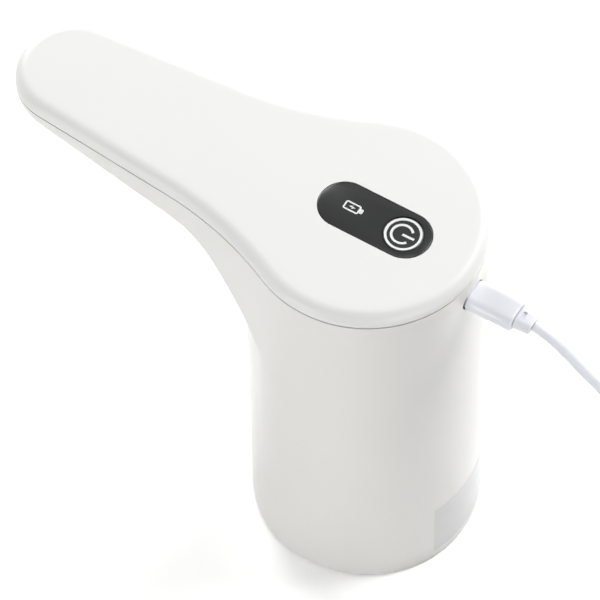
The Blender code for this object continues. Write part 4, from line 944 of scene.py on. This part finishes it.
def make_lid():
    rings = [plan_ring(LID_WALL, LID_CEILING), plan_ring(LID_WALL, LID_BASE), plan_ring(SEAM_LIP, LID_BASE)]
    rings.append(plan_ring(0.0, LID_BASE + SEAM_LIP))
    for k in range(EDGE_STEPS + 1):
        turn = math.pi / 2 * k / EDGE_STEPS
        height = BODY_HEIGHT - LID_RISE * (1 - math.sin(turn))
        rings.append(plan_ring(LID_ROUND * (1 - math.cos(turn)), height))
    rings.append(plan_ring(LID_ROUND + FLAT_MARGIN, BODY_HEIGHT))
    lid = loft("lid_shell", rings)
    posts = at_board_screws("post", POST_RADIUS, LID_CEILING - POST_DROP, LID_CEILING + POST_SINK)
    combine(lid, [lid_tongue(), *posts], "UNION")
    recess = upright("recess", PANEL_HALF_SPAN, PANEL_RADIUS + TOUCH, BODY_HEIGHT - PANEL_RECESS,
                     BODY_HEIGHT + WALL, PANEL_X)
    opening = upright("opening", PANEL_HALF_SPAN, PANEL_RADIUS - PANEL_LEDGE, LID_CEILING - WALL,
                      BODY_HEIGHT, PANEL_X)
    pilots = at_board_screws("pilot", SCREW_HOLE, LID_CEILING - PILOT_DEPTH, LID_CEILING - TOUCH)
    combine(lid, [recess, opening, *pilots], "DIFFERENCE")
    return finish_piece(lid, LID_ABS, "housing", ["top_cover"])


lid_shell = make_lid()
print("lid:", len(lid_shell.data.polygons), "faces")

# %% [markdown]
# ## Panel, key and printed signs
#
# The panel is a slot-shaped piece of black polycarbonate, let in flush. Its edge has a hair-fine chamfer,
# which is what catches the light. The key in it is dished for a fingertip, with a white ring near its rim
# and the common sign for power inside. The ring and the sign are ink, so they are skins only a few
# hundredths of a millimetre thick that follow the dish. Beside the key is a small battery sign.

# %% Panel and key
KEY_X = 0.0129
KEY_RADIUS = 0.0064
KEY_GAP = 0.00025
KEY_DISH = 0.0004
KEY_RIM = 0.0004
KEY_RIM_BEND = 0.0009
KEY_TOP = BODY_HEIGHT - 0.00008
KEY_UNDER = BODY_HEIGHT - 0.0015
KEY_FLANGE = 0.00055
KEY_FLANGE_THICKNESS = 0.0008
KEY_STEM_RADIUS = 0.0020
KEY_STEM_DROP = 0.0030
KEY_RINGS = 32
KEY_SIDES = 128
PANEL_TOP = BODY_HEIGHT - 0.00006
PANEL_UNDER = BODY_HEIGHT - 0.0012
PANEL_EDGE = 0.00018
EDGE_BEND = PANEL_EDGE * 0.3
HOLE_BELOW = 0.003
HOLE_ABOVE = 0.001
INK = 0.00004


def make_panel():
    levels = [(PANEL_UNDER, 0.0), (PANEL_TOP - PANEL_EDGE, 0.0), (PANEL_TOP - EDGE_BEND, EDGE_BEND),
              (PANEL_TOP, PANEL_EDGE)]
    rings = []
    for z, inset in levels:
        rings.append([(PANEL_X + x, y, z) for x, y in stadium(PANEL_HALF_SPAN, PANEL_RADIUS - inset)])
    panel = loft("panel_plate", rings)
    radius = KEY_RADIUS + KEY_GAP
    low, high = PANEL_TOP - HOLE_BELOW, PANEL_TOP + HOLE_ABOVE
    hole = turned("hole", [(0.0, low), (radius, low), (radius, high), (0.0, high)])
    hole.data.transform(Matrix.Translation((KEY_X, 0.0, 0.0)))
    combine(panel, [hole], "DIFFERENCE")
    return finish_piece(panel, PANEL_PC, "housing", ["control_panel"])


def dish_height(radius):
    """How high the key's top stands over its lowest place: a shallow bowl with a rounded rim."""
    rim = KEY_RADIUS - KEY_RIM
    if radius <= rim:
        return KEY_DISH * (radius / rim) ** 2
    return KEY_DISH - (radius - rim) ** 2 / KEY_RIM_BEND


def make_key():
    base = KEY_TOP - KEY_DISH
    radii = [KEY_RADIUS * k / KEY_RINGS for k in range(KEY_RINGS + 1)]
    profile = [(radius, base + dish_height(radius)) for radius in radii]
    flange = KEY_RADIUS + KEY_FLANGE
    below = KEY_UNDER - KEY_FLANGE_THICKNESS
    foot = KEY_UNDER - KEY_STEM_DROP
    profile += [(KEY_RADIUS, KEY_UNDER), (flange, KEY_UNDER), (flange, below), (KEY_STEM_RADIUS, below),
                (KEY_STEM_RADIUS, foot), (0.0, foot)]
    key = turned("power_key_cap", profile, KEY_SIDES)
    return finish_piece(key, KEY_PC, "key", ["power_key"], Matrix.Translation((KEY_X, 0.0, 0.0)))


panel_plate = make_panel()
power_key_cap = make_key()
print("panel and key:", len(panel_plate.data.polygons) + len(power_key_cap.data.polygons), "faces")

# %% Printed signs
RING_OUTER = 0.0060
RING_STROKE = 0.0008
SIGN_X = -0.0004
SIGN_RADIUS = 0.0038
SIGN_STROKE = 0.0008
SIGN_GAP = math.radians(37)
SIGN_BAR = (0.0001, 0.0043)
RING_STEPS = 128
ARC_STEPS = 80
BAR_STEPS = 12
ACROSS_STEPS = 6


def ink_patch(name, rows, height_at, closed=False):
    """A thin printed skin through rows of (x, y) points, laid over the surface that height_at gives."""
    top = [[(x, y, height_at(x, y) + INK) for x, y in row] for row in rows]
    base = [[(x, y, height_at(x, y) - INK) for x, y in row] for row in rows]
    rings = [upper + lower[::-1] for upper, lower in zip(top, base)]
    return loft(name, rings, closed)


def key_surface(x, y):
    return KEY_TOP - KEY_DISH + dish_height(math.hypot(x, y))


def print_sign(sign, body, place=Matrix.Identity(4)):
    return finish_piece(sign, PRINT_INK, body, place=place)


def arc_rows(inner, outer, start, end, steps):
    radii = [inner + (outer - inner) * j / ACROSS_STEPS for j in range(ACROSS_STEPS + 1)]
    rows = []
    for k in range(steps + 1):
        angle = start + (end - start) * k / steps
        rows.append([(r * math.cos(angle), r * math.sin(angle)) for r in radii])
    return rows


def make_signs():
    place = Matrix.Translation((KEY_X, 0.0, 0.0))
    rows = arc_rows(RING_OUTER - RING_STROKE, RING_OUTER, 0.0, math.tau, RING_STEPS)[:-1]
    print_sign(ink_patch("key_ring_print", rows, key_surface, closed=True), "key", place)
    sweep = arc_rows(SIGN_RADIUS - SIGN_STROKE, SIGN_RADIUS, SIGN_GAP, math.tau - SIGN_GAP, ARC_STEPS)
    sweep = [[(SIGN_X + x, y) for x, y in row] for row in sweep]
    print_sign(ink_patch("power_sign_arc", sweep, key_surface), "key", place)
    near, far = SIGN_BAR
    places = [SIGN_X + near + (far - near) * k / BAR_STEPS for k in range(BAR_STEPS + 1)]
    bar_rows = [[(x, SIGN_STROKE / 2 * j) for j in (-1, 0, 1)] for x in places]
    print_sign(ink_patch("power_sign_bar", bar_rows, key_surface), "key", place)


make_signs()
print("key signs printed")

# %% Battery sign
BATTERY_AT = Vector((-0.0058, 0.0004, 0.0))
BATTERY_LENGTH = 0.0055
BATTERY_WIDTH = 0.0033
BATTERY_CORNER = 0.0007
BATTERY_STROKE = 0.00052
CAP_LENGTH = 0.0011
CAP_WIDTH = 0.0019
LEAST_CORNER = 0.0001
BOLT = (
    (0.0012, 0.0001),
    (-0.0001, 0.0002),
    (0.0002, 0.0007),
    (-0.0012, -0.0001),
    (0.0001, -0.0002),
    (-0.0002, -0.0007),
)


def round_box(length, width, corner, steps=6):
    """The outline of a box with rounded corners, about the origin."""
    points = []
    for quarter, (i, j) in enumerate(((1, 1), (-1, 1), (-1, -1), (1, -1))):
        for k in range(steps + 1):
            angle = math.pi / 2 * (quarter + k / steps)
            points.append((i * (length / 2 - corner) + corner * math.cos(angle),
                           j * (width / 2 - corner) + corner * math.sin(angle)))
    return points


def panel_surface(x, y):
    return PANEL_TOP


def print_frame(name, centre, length, width, corner):
    """A box drawn as a line: its outer and inner outlines, skinned across."""
    outer = round_box(length, width, corner)
    less = 2 * BATTERY_STROKE
    inner = round_box(length - less, width - less, max(corner - BATTERY_STROKE, LEAST_CORNER))
    rows = [[(centre.x + x, centre.y + y) for x, y in pair] for pair in zip(outer, inner)]
    return print_sign(ink_patch(name, rows, panel_surface, closed=True), "housing")


def make_battery_sign():
    print_frame("battery_sign_case", BATTERY_AT, BATTERY_LENGTH, BATTERY_WIDTH, BATTERY_CORNER)
    cap_at = BATTERY_AT + Vector(((BATTERY_LENGTH + CAP_LENGTH) / 2, 0.0, 0.0))
    print_frame("battery_sign_cap", cap_at, CAP_LENGTH, CAP_WIDTH, BATTERY_STROKE)
    levels = [PANEL_TOP - INK, PANEL_TOP + INK]
    rings = [[(BATTERY_AT.x + x, BATTERY_AT.y + y, z) for x, y in BOLT] for z in levels]
    print_sign(loft("battery_sign_bolt", rings), "housing")


make_battery_sign()
print("battery sign printed")

# %% [markdown]
# ## The charging plug
#
# The plug's grip is a soft flat bar with rounded ends. It stands in the port with a dark gap round its
# front. Behind it comes a short, narrower relief, slotted so that it can bend, which droops with the cord.

# %% Plug and relief
PLUG_ROUND = 0.0008
RELIEF_WIDTH = 0.0080
RELIEF_HEIGHT = 0.0054
RELIEF_TAPER = 0.85
SLOT_LENGTH = 0.0031
SLOT_WIDTH = 0.0010
SLOT_DEPTH = 0.0010
SLOT_PLACE = 0.30
RELIEF_STEPS = 16


def rounded_ends(length, height, edge, steps=6):
    stations = []
    for k in range(steps + 1):
        turn = math.pi / 2 * k / steps
        stations.append((edge * (1 - math.sin(turn)), 1.0 - 2 * edge / height * (1 - math.cos(turn))))
    stations = stations[::-1]
    return stations + [(length - x, scale) for x, scale in stations[::-1]]


def make_plug():
    at_port = Matrix.Translation((BODY_RADIUS - PLUG_SEAT, 0.0, PORT_Z))
    grip = lying("plug_grip", PLUG_WIDTH, PLUG_HEIGHT, rounded_ends(PLUG_LENGTH, PLUG_HEIGHT, PLUG_ROUND))
    finish_piece(grip, PLUG_TPE, "charging_lead", ["charge_plug"], at_port)
    shares = [k / RELIEF_STEPS for k in range(RELIEF_STEPS + 1)]
    stations = [(RELIEF_LENGTH * share, 1.0 + (RELIEF_TAPER - 1.0) * share) for share in shares]
    relief = lying("plug_relief", RELIEF_WIDTH, RELIEF_HEIGHT, stations)
    slots = []
    for side in (1, -1):
        middle = RELIEF_LENGTH * SLOT_PLACE
        corners = ((-1, -1), (1, -1), (1, 1), (-1, 1))
        outline = [(middle + i * SLOT_WIDTH / 2, j * SLOT_LENGTH / 2) for i, j in corners]
        depths = (side * RELIEF_HEIGHT / 2 - SLOT_DEPTH, side * RELIEF_HEIGHT / 2 + SLOT_DEPTH)
        slots.append(loft("slot", [[(x, y, z) for x, y in outline] for z in depths]))
    for piece in (relief, *slots):
        for vertex in piece.data.vertices:
            vertex.co = drooped(vertex.co)
    combine(relief, slots, "DIFFERENCE")
    at_plug = Matrix.Translation(RELIEF_START)
    finish_piece(relief, PLUG_TPE, "charging_lead", ["strain_relief"], at_plug)


make_plug()
print("plug made")

# %% [markdown]
# ## The label
#
# Low on the side is a pale label. It is a film that wraps round the body, so it is made as a thin curved
# sheet that follows the tapered wall.

# %% Label
LABEL_START = math.radians(-23)
LABEL_END = math.radians(46)
LABEL_LOW = 0.0044
LABEL_HIGH = 0.0290
LABEL_FILM_THICKNESS = 0.00008
LABEL_SINK = 0.00002
LABEL_STEPS = 48


def make_label():
    corners = ((LABEL_LOW, -LABEL_SINK), (LABEL_LOW, LABEL_FILM_THICKNESS),
               (LABEL_HIGH, LABEL_FILM_THICKNESS), (LABEL_HIGH, -LABEL_SINK))
    rings = []
    for k in range(LABEL_STEPS + 1):
        angle = LABEL_START + (LABEL_END - LABEL_START) * k / LABEL_STEPS
        ring = []
        for z, shift in corners:
            radius = BODY_RADIUS - taper_at(z) + shift
            ring.append((radius * math.cos(angle), radius * math.sin(angle), z))
        rings.append(ring)
    return finish_piece(loft("rating_label_bare", rings), LABEL_FILM, "housing")


label = make_label()
print("label:", len(label.data.polygons), "faces")

# %% [markdown]
# ## Bottle collar
#
# The base is open underneath and holds a moulded ring that grips the bottle's neck. Its bore has a row of
# upright ribs, so that it holds well on necks of slightly different sizes. The ring is turned from its
# outline. A node group sets as many ribs as asked around the bore and joins them to the ring.

# %% Collar with ribs
COLLAR_HEIGHT = 0.0380
COLLAR_CEILING = 0.0350
COLLAR_BORE = 0.0286
COLLAR_WALL = 0.0019
COLLAR_RIM = 0.0030
MOUTH_CHAMFER = 0.0011
MOUTH_CHAMFER_HEIGHT = 0.0030
INTAKE_HOLE = 0.0049
RIB_COUNT = 12
RIB_RADIUS = 0.0007
RIB_HEIGHT = 0.0009
RIB_FOOT = 0.0060
RIB_LENGTH = 0.0230
FRAME_SCREW_RING = 0.0160
FRAME_SCREW_ANGLES = (60, 180, 300)
FOOT_CHAMFER = 0.0004
RIB_RINGS = 33
RIB_SIDES = 24
RIB_FULLNESS = 16.0
RIB_END_LOSS = 0.67
COLLAR_SIDES = 192
DRILL_SIDES = 32


def along_z(tree, length):
    return add_node(tree, "ShaderNodeCombineXYZ", inputs={"Z": length}).outputs[0]


def rib_group():
    """Upright ribs around the bore of the ring that comes in."""
    tree, sizes = shape_group("grip_ribs", {
        "Ribs": WHOLE,
        "Ring radius": FLOAT,
        "Rib radius": FLOAT,
        "Foot": FLOAT,
        "Length": FLOAT,
    })
    line = add_node(tree, "GeometryNodeCurvePrimitiveLine", inputs={
        "End": along_z(tree, sizes.outputs["Length"]),
    })
    fine = add_node(tree, "GeometryNodeResampleCurve", inputs={"Curve": line.outputs[0], "Count": RIB_RINGS})
    # The section shrinks to a third at both ends and stays full between them.
    along = add_node(tree, "GeometryNodeSplineParameter").outputs["Factor"]
    centred = maths(tree, "MULTIPLY_ADD", along, 2.0, -1.0)
    late = maths(tree, "POWER", maths(tree, "ABSOLUTE", centred), RIB_FULLNESS)
    section = add_node(tree, "GeometryNodeCurvePrimitiveCircle", inputs={
        "Resolution": RIB_SIDES,
        "Radius": sizes.outputs["Rib radius"],
    })
    rib = add_node(tree, "GeometryNodeCurveToMesh", inputs={
        "Curve": fine.outputs[0],
        "Profile Curve": section.outputs["Curve"],
        "Scale": maths(tree, "MULTIPLY_ADD", late, -RIB_END_LOSS, 1.0),
        "Fill Caps": True,
    })
    ring = add_node(tree, "GeometryNodeMeshCircle", inputs={
        "Vertices": sizes.outputs["Ribs"],
        "Radius": sizes.outputs["Ring radius"],
    })
    spots = add_node(tree, "GeometryNodeTransform", inputs={
        "Geometry": ring.outputs["Mesh"],
        "Translation": along_z(tree, sizes.outputs["Foot"]),
        "Rotation": along_z(tree, maths(tree, "DIVIDE", math.pi, sizes.outputs["Ribs"])),
    })
    ribs = add_node(tree, "GeometryNodeInstanceOnPoints", inputs={
        "Points": spots.outputs["Geometry"],
        "Instance": rib.outputs["Mesh"],
    })
    real = add_node(tree, "GeometryNodeRealizeInstances", inputs={"Geometry": ribs.outputs["Instances"]})
    joined = add_node(tree, "GeometryNodeMeshBoolean", {"operation": "UNION", "solver": "EXACT"}, {
        "Mesh 2": real.outputs["Geometry"],
    })
    tree.links.new(sizes.outputs["Geometry"], joined.inputs["Mesh 2"])
    return end_group(tree, joined.outputs["Mesh"], sizes)


def inner_radius(z):
    return BODY_RADIUS - taper_at(z) - WALL


def frame_screw_spots(height):
    angles = [math.radians(angle) for angle in FRAME_SCREW_ANGLES]
    return [Vector((FRAME_SCREW_RING * math.cos(a), FRAME_SCREW_RING * math.sin(a), height)) for a in angles]


def make_collar():
    foot = inner_radius(0.0) - TOUCH
    top = inner_radius(COLLAR_HEIGHT) - TOUCH
    collar = turned("bottle_collar_finish", [
        (COLLAR_BORE + MOUTH_CHAMFER, 0.0),
        (foot - FOOT_CHAMFER, 0.0),
        (foot, FOOT_CHAMFER),
        (top, COLLAR_HEIGHT),
        (top - COLLAR_WALL, COLLAR_HEIGHT),
        (foot - COLLAR_WALL, COLLAR_RIM),
        (COLLAR_BORE + COLLAR_WALL, COLLAR_RIM),
        (COLLAR_BORE + COLLAR_WALL, COLLAR_HEIGHT),
        (INTAKE_HOLE, COLLAR_HEIGHT),
        (INTAKE_HOLE, COLLAR_CEILING),
        (COLLAR_BORE, COLLAR_CEILING),
        (COLLAR_BORE, MOUTH_CHAMFER_HEIGHT),
        (COLLAR_BORE + MOUTH_CHAMFER * 0.3, MOUTH_CHAMFER_HEIGHT * 0.4),
    ], COLLAR_SIDES)
    over = COLLAR_HEIGHT - COLLAR_CEILING + TOUCH
    drill = [(0.0, -TOUCH), (SCREW_HOLE, -TOUCH), (SCREW_HOLE, over), (0.0, over)]
    holes = []
    for spot in frame_screw_spots(COLLAR_CEILING):
        hole = turned("drill", drill, DRILL_SIDES)
        hole.data.transform(Matrix.Translation(spot))
        holes.append(hole)
    combine(collar, holes, "DIFFERENCE")
    grow(collar, rib_group(), {
        "Ribs": RIB_COUNT,
        "Ring radius": COLLAR_BORE - RIB_HEIGHT + RIB_RADIUS,
        "Rib radius": RIB_RADIUS,
        "Foot": RIB_FOOT,
        "Length": RIB_LENGTH,
        "Finish": COLLAR_PP,
    })
    return finish_piece(collar, COLLAR_PP, "housing", ["bottle_collar"])


bottle_collar = make_collar()
print("collar:", len(bottle_collar.data.polygons), "faces with", RIB_COUNT, "ribs")

# %% [markdown]
# ## Screws
#
# Small pan-head screws hold the inner frame to the collar and the board under the lid. They are driven from
# below. One screw is turned and given its cross, and a node group sets a copy at each point. A real driver
# never stops at the same angle, so each copy is turned a little by chance, from a fixed seed.

# %% Screws
SCREW_RADIUS = 0.0010
SCREW_ROOT = 0.0008
SCREW_PITCH = 0.0008
SCREW_HEAD_RADIUS = 0.00195
SCREW_HEAD_HEIGHT = 0.0013
CROSS_LENGTH = 0.0020
CROSS_WIDTH = 0.0005
CROSS_DEPTH = 0.0008
CROSS_START = 0.0002
CROSS_TAPER = (0.4, 0.6)
HEAD_TOP_SHARE = 0.55
HEAD_SIDE_SHARE = 0.45
HEAD_EDGE = 0.0003
HEAD_STEPS = 6
SCREW_TIP_SHARE = 0.7
SCREW_SIDES = 40
SCREW_SEED = 7
FRAME_SCREW_REACH = 0.0060
BOARD_SCREW_REACH = 0.0051
BOARD_SCREW_Z = 0.1416


def screw_group():
    """A copy of one screw at each point that comes in, turned by chance."""
    tree, sizes = shape_group("screws_at_points", {"Screw": OBJECT, "Most turn": FLOAT, "Seed": WHOLE})
    screw = add_node(tree, "GeometryNodeObjectInfo", inputs={"Object": sizes.outputs["Screw"]})
    chance = add_node(tree, "FunctionNodeRandomValue", {"data_type": "FLOAT"}, {
        "Max": sizes.outputs["Most turn"],
        "Seed": sizes.outputs["Seed"],
    })
    copies = add_node(tree, "GeometryNodeInstanceOnPoints", inputs={
        "Points": sizes.outputs["Geometry"],
        "Instance": screw.outputs["Geometry"],
        "Rotation": along_z(tree, chance.outputs["Value"]),
    })
    return end_group(tree, copies.outputs["Instances"], sizes)


def make_screw(reach):
    """A screw that points up, the face of its head that bears at height 0."""
    profile = [(0.0, -SCREW_HEAD_HEIGHT), (SCREW_HEAD_RADIUS * HEAD_TOP_SHARE, -SCREW_HEAD_HEIGHT)]
    for k in range(1, HEAD_STEPS + 1):
        angle = math.pi / 2 * k / HEAD_STEPS
        profile.append((SCREW_HEAD_RADIUS * (HEAD_TOP_SHARE + HEAD_SIDE_SHARE * math.sin(angle)),
                        -HEAD_EDGE - (SCREW_HEAD_HEIGHT - HEAD_EDGE) * math.cos(angle)))
    profile += [(SCREW_HEAD_RADIUS, 0.0), (SCREW_RADIUS, 0.0)]
    for k in range(int((reach - SCREW_PITCH) / SCREW_PITCH)):
        profile += [(SCREW_ROOT, SCREW_PITCH * (k + 0.5)), (SCREW_RADIUS, SCREW_PITCH * (k + 1))]
    profile += [(SCREW_ROOT * SCREW_TIP_SHARE, reach), (0.0, reach)]
    screw = turned("screw", profile, SCREW_SIDES)
    long, short = CROSS_LENGTH / 2, CROSS_WIDTH / 2
    less_long, less_short = CROSS_TAPER
    mouth = [(long, short), (-long, short), (-long, -short), (long, -short)]
    rings = [[(x, y, -SCREW_HEAD_HEIGHT - CROSS_START) for x, y in mouth],
             [(x * less_long, y * less_short, -SCREW_HEAD_HEIGHT + CROSS_DEPTH) for x, y in mouth]]
    bars = [loft("cross", rings), loft("cross", rings)]
    for quarter, bar in enumerate(bars):
        bar.data.transform(Matrix.Rotation(math.pi / 2 * quarter, 4, "Z"))
    return combine(screw, bars, "DIFFERENCE")


def make_screws(name, reach, spots, replaced):
    screw = make_screw(reach)
    screws = points_object(name, spots)
    grow(screws, screws_at_points, {
        "Screw": screw,
        "Most turn": math.pi / 2,
        "Seed": SCREW_SEED,
        "Finish": NICKEL,
    })
    bpy.data.objects.remove(screw, do_unlink=True)
    return finish_piece(screws, NICKEL, "housing", replaced)


screws_at_points = screw_group()
frame_screws = make_screws("frame_screws", FRAME_SCREW_REACH, frame_screw_spots(COLLAR_CEILING - TOUCH),
                           ["frame_screw_1", "frame_screw_2", "frame_screw_3"])
board_spots = [Vector((x, 0.0, BOARD_SCREW_Z)) for x in BOARD_SCREW_PLACES]
board_screws = make_screws("board_screws", BOARD_SCREW_REACH, board_spots, ["board_screw_1", "board_screw_2"])
print("screws:", len(frame_screws.data.polygons) + len(board_screws.data.polygons), "faces")

# %% [markdown]
# ## The nodes that stay
#
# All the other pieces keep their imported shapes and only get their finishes.

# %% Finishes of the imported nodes
NODE_FINISHES = {
    INNER_ABS: ["inner_frame", "pump_head", "drive_cam", "battery_holder", "outlet_elbow"],
    COLLAR_PP: ["intake_barb"],
    SILICONE: ["neck_seal", "outlet_hose", "spout_washer", "battery_lamp"],
    BOARD_GREEN: ["control_board", "charge_board"],
    CHIP_EPOXY: ["switch_plunger", "motor_endbell"],
    NICKEL: ["tact_switch", "motor_shaft", "contact_lower", "contact_upper", "charge_socket", "plug_blade",
             "far_blade"],
    MOTOR_STEEL: ["pump_motor"],
    CELL_SLEEVE: ["battery_cell"],
    STAINLESS: ["spout_nozzle"],
    PLUG_TPE: ["far_relief", "far_plug"],
}
for finish, names in NODE_FINISHES.items():
    for name in names:
        for slot in frame["nodes"][name].material_slots:
            slot.material = finish
print("packed nodes finished:", sum(len(names) for names in NODE_FINISHES.values()))

# %% [markdown]
# ## Floor and light
#
# The pump stands on white paper in a ring of softboxes, as in a light tent. Two stand behind it and one
# high at its right, which makes the flat lid brightest, and a weak one hangs overhead. The low ones in
# front light the wall, and the gap between the two strong ones leaves a soft darker band down it. To the
# camera and in reflections paper and world are white, while the light that the paper gives back stays
# plain.

# %% Floor and world
FLOOR_WHITE = 1.7
FLOOR_HALF = 3.0
FLOOR_DROP = 0.0001
FIBRE_MM = 2.0
WORLD_WHITE = (1.0, 1.0, 1.0, 1.0)
WORLD_LIGHT = 0.0


def bright_rays(tree):
    """Two values: 1 for the camera's rays, and 1 for these and for mirrored and transmitted ones."""
    path = add_node(tree, "ShaderNodeLightPath").outputs
    mirror = maths(tree, "MAXIMUM", path["Is Glossy Ray"], path["Is Transmission Ray"])
    return path["Is Camera Ray"], maths(tree, "MAXIMUM", path["Is Camera Ray"], mirror)


def mix_shaders(tree, factor, first, second):
    return add_node(tree, "ShaderNodeMixShader", inputs={0: factor, 1: first, 2: second}).outputs[0]


def floor_paper():
    """White paper. The camera and shiny surfaces see it bright; the light that it gives back is plain."""
    material, tree, place = new_material("studio_floor_white_paper")
    camera_ray, either = bright_rays(tree)
    paper = tint(tree, noise(tree, place, FIBRE_MM, 3.0), "#b6b6b4", "#b2b2b0")
    white = (FLOOR_WHITE, FLOOR_WHITE, FLOOR_WHITE, 1.0)
    plain = add_node(tree, "ShaderNodeBsdfDiffuse", inputs={"Color": paper}).outputs[0]
    bright = add_node(tree, "ShaderNodeBsdfDiffuse", inputs={"Color": white}).outputs[0]
    behind = add_node(tree, "ShaderNodeNewGeometry").outputs["Backfacing"]
    clear = add_node(tree, "ShaderNodeBsdfTransparent").outputs[0]
    top = mix_shaders(tree, either, plain, bright)
    end_material(tree, mix_shaders(tree, maths(tree, "MULTIPLY", behind, camera_ray), top, clear))
    return material


def make_floor():
    bm = bmesh.new()
    bmesh.ops.create_grid(bm, x_segments=1, y_segments=1, size=FLOOR_HALF)
    floor = mesh_object(bm, "studio_floor")
    floor.data.materials.append(floor_paper())
    floor.location.z = -FLOOR_DROP
    return floor


def make_world():
    world = bpy.data.worlds.new("studio_white")
    bpy.context.scene.world = world
    world.use_nodes = True
    tree = world.node_tree
    tree.nodes.clear()
    either = bright_rays(tree)[1]
    lit, seen = [add_node(tree, "ShaderNodeBackground", inputs={"Color": WORLD_WHITE, "Strength": strength})
                 for strength in (WORLD_LIGHT, 1.0)]
    mix = mix_shaders(tree, either, lit.outputs[0], seen.outputs[0])
    add_node(tree, "ShaderNodeOutputWorld", inputs={"Surface": mix})
    return world


floor = make_floor()
world = make_world()
print("floor and world:", floor.name, world.name)

# %% Lamps
LAMP_AWAY = 1.9
LAMP_SIZE = 1.0
LAMPS = [
    ("low_left_softbox", -150, 5, 7.0),
    ("low_front_softbox", -110, 5, 17.5),
    ("low_right_softbox", -32, 5, 15.0),
    ("back_left_softbox", 145, 25, 18.5),
    ("back_right_softbox", 80, 25, 15.0),
    ("high_right_softbox", 52, 55, 19.0),
    ("overhead_softbox", 0, 89, 3.0),
]


def make_lamp(name, azimuth, elevation, power):
    """A round softbox that faces the pump, placed by its direction."""
    lamp = bpy.data.lights.new(name, "AREA")
    lamp.shape = "DISK"
    lamp.size = LAMP_SIZE
    lamp.energy = power
    obj = add_object(name, lamp)
    level, turn = math.radians(elevation), math.radians(azimuth)
    out = Vector((math.cos(level) * math.cos(turn), math.cos(level) * math.sin(turn), math.sin(level)))
    obj.location = BODY_AXIS + Vector((0.0, 0.0, BODY_HEIGHT / 2)) + LAMP_AWAY * out
    obj.rotation_euler = (-out).to_track_quat("-Z", "Y").to_euler()
    return obj


for lamp in LAMPS:
    make_lamp(*lamp)
bpy.context.scene.view_settings.view_transform = "Standard"
print("lamps:", len(LAMPS))
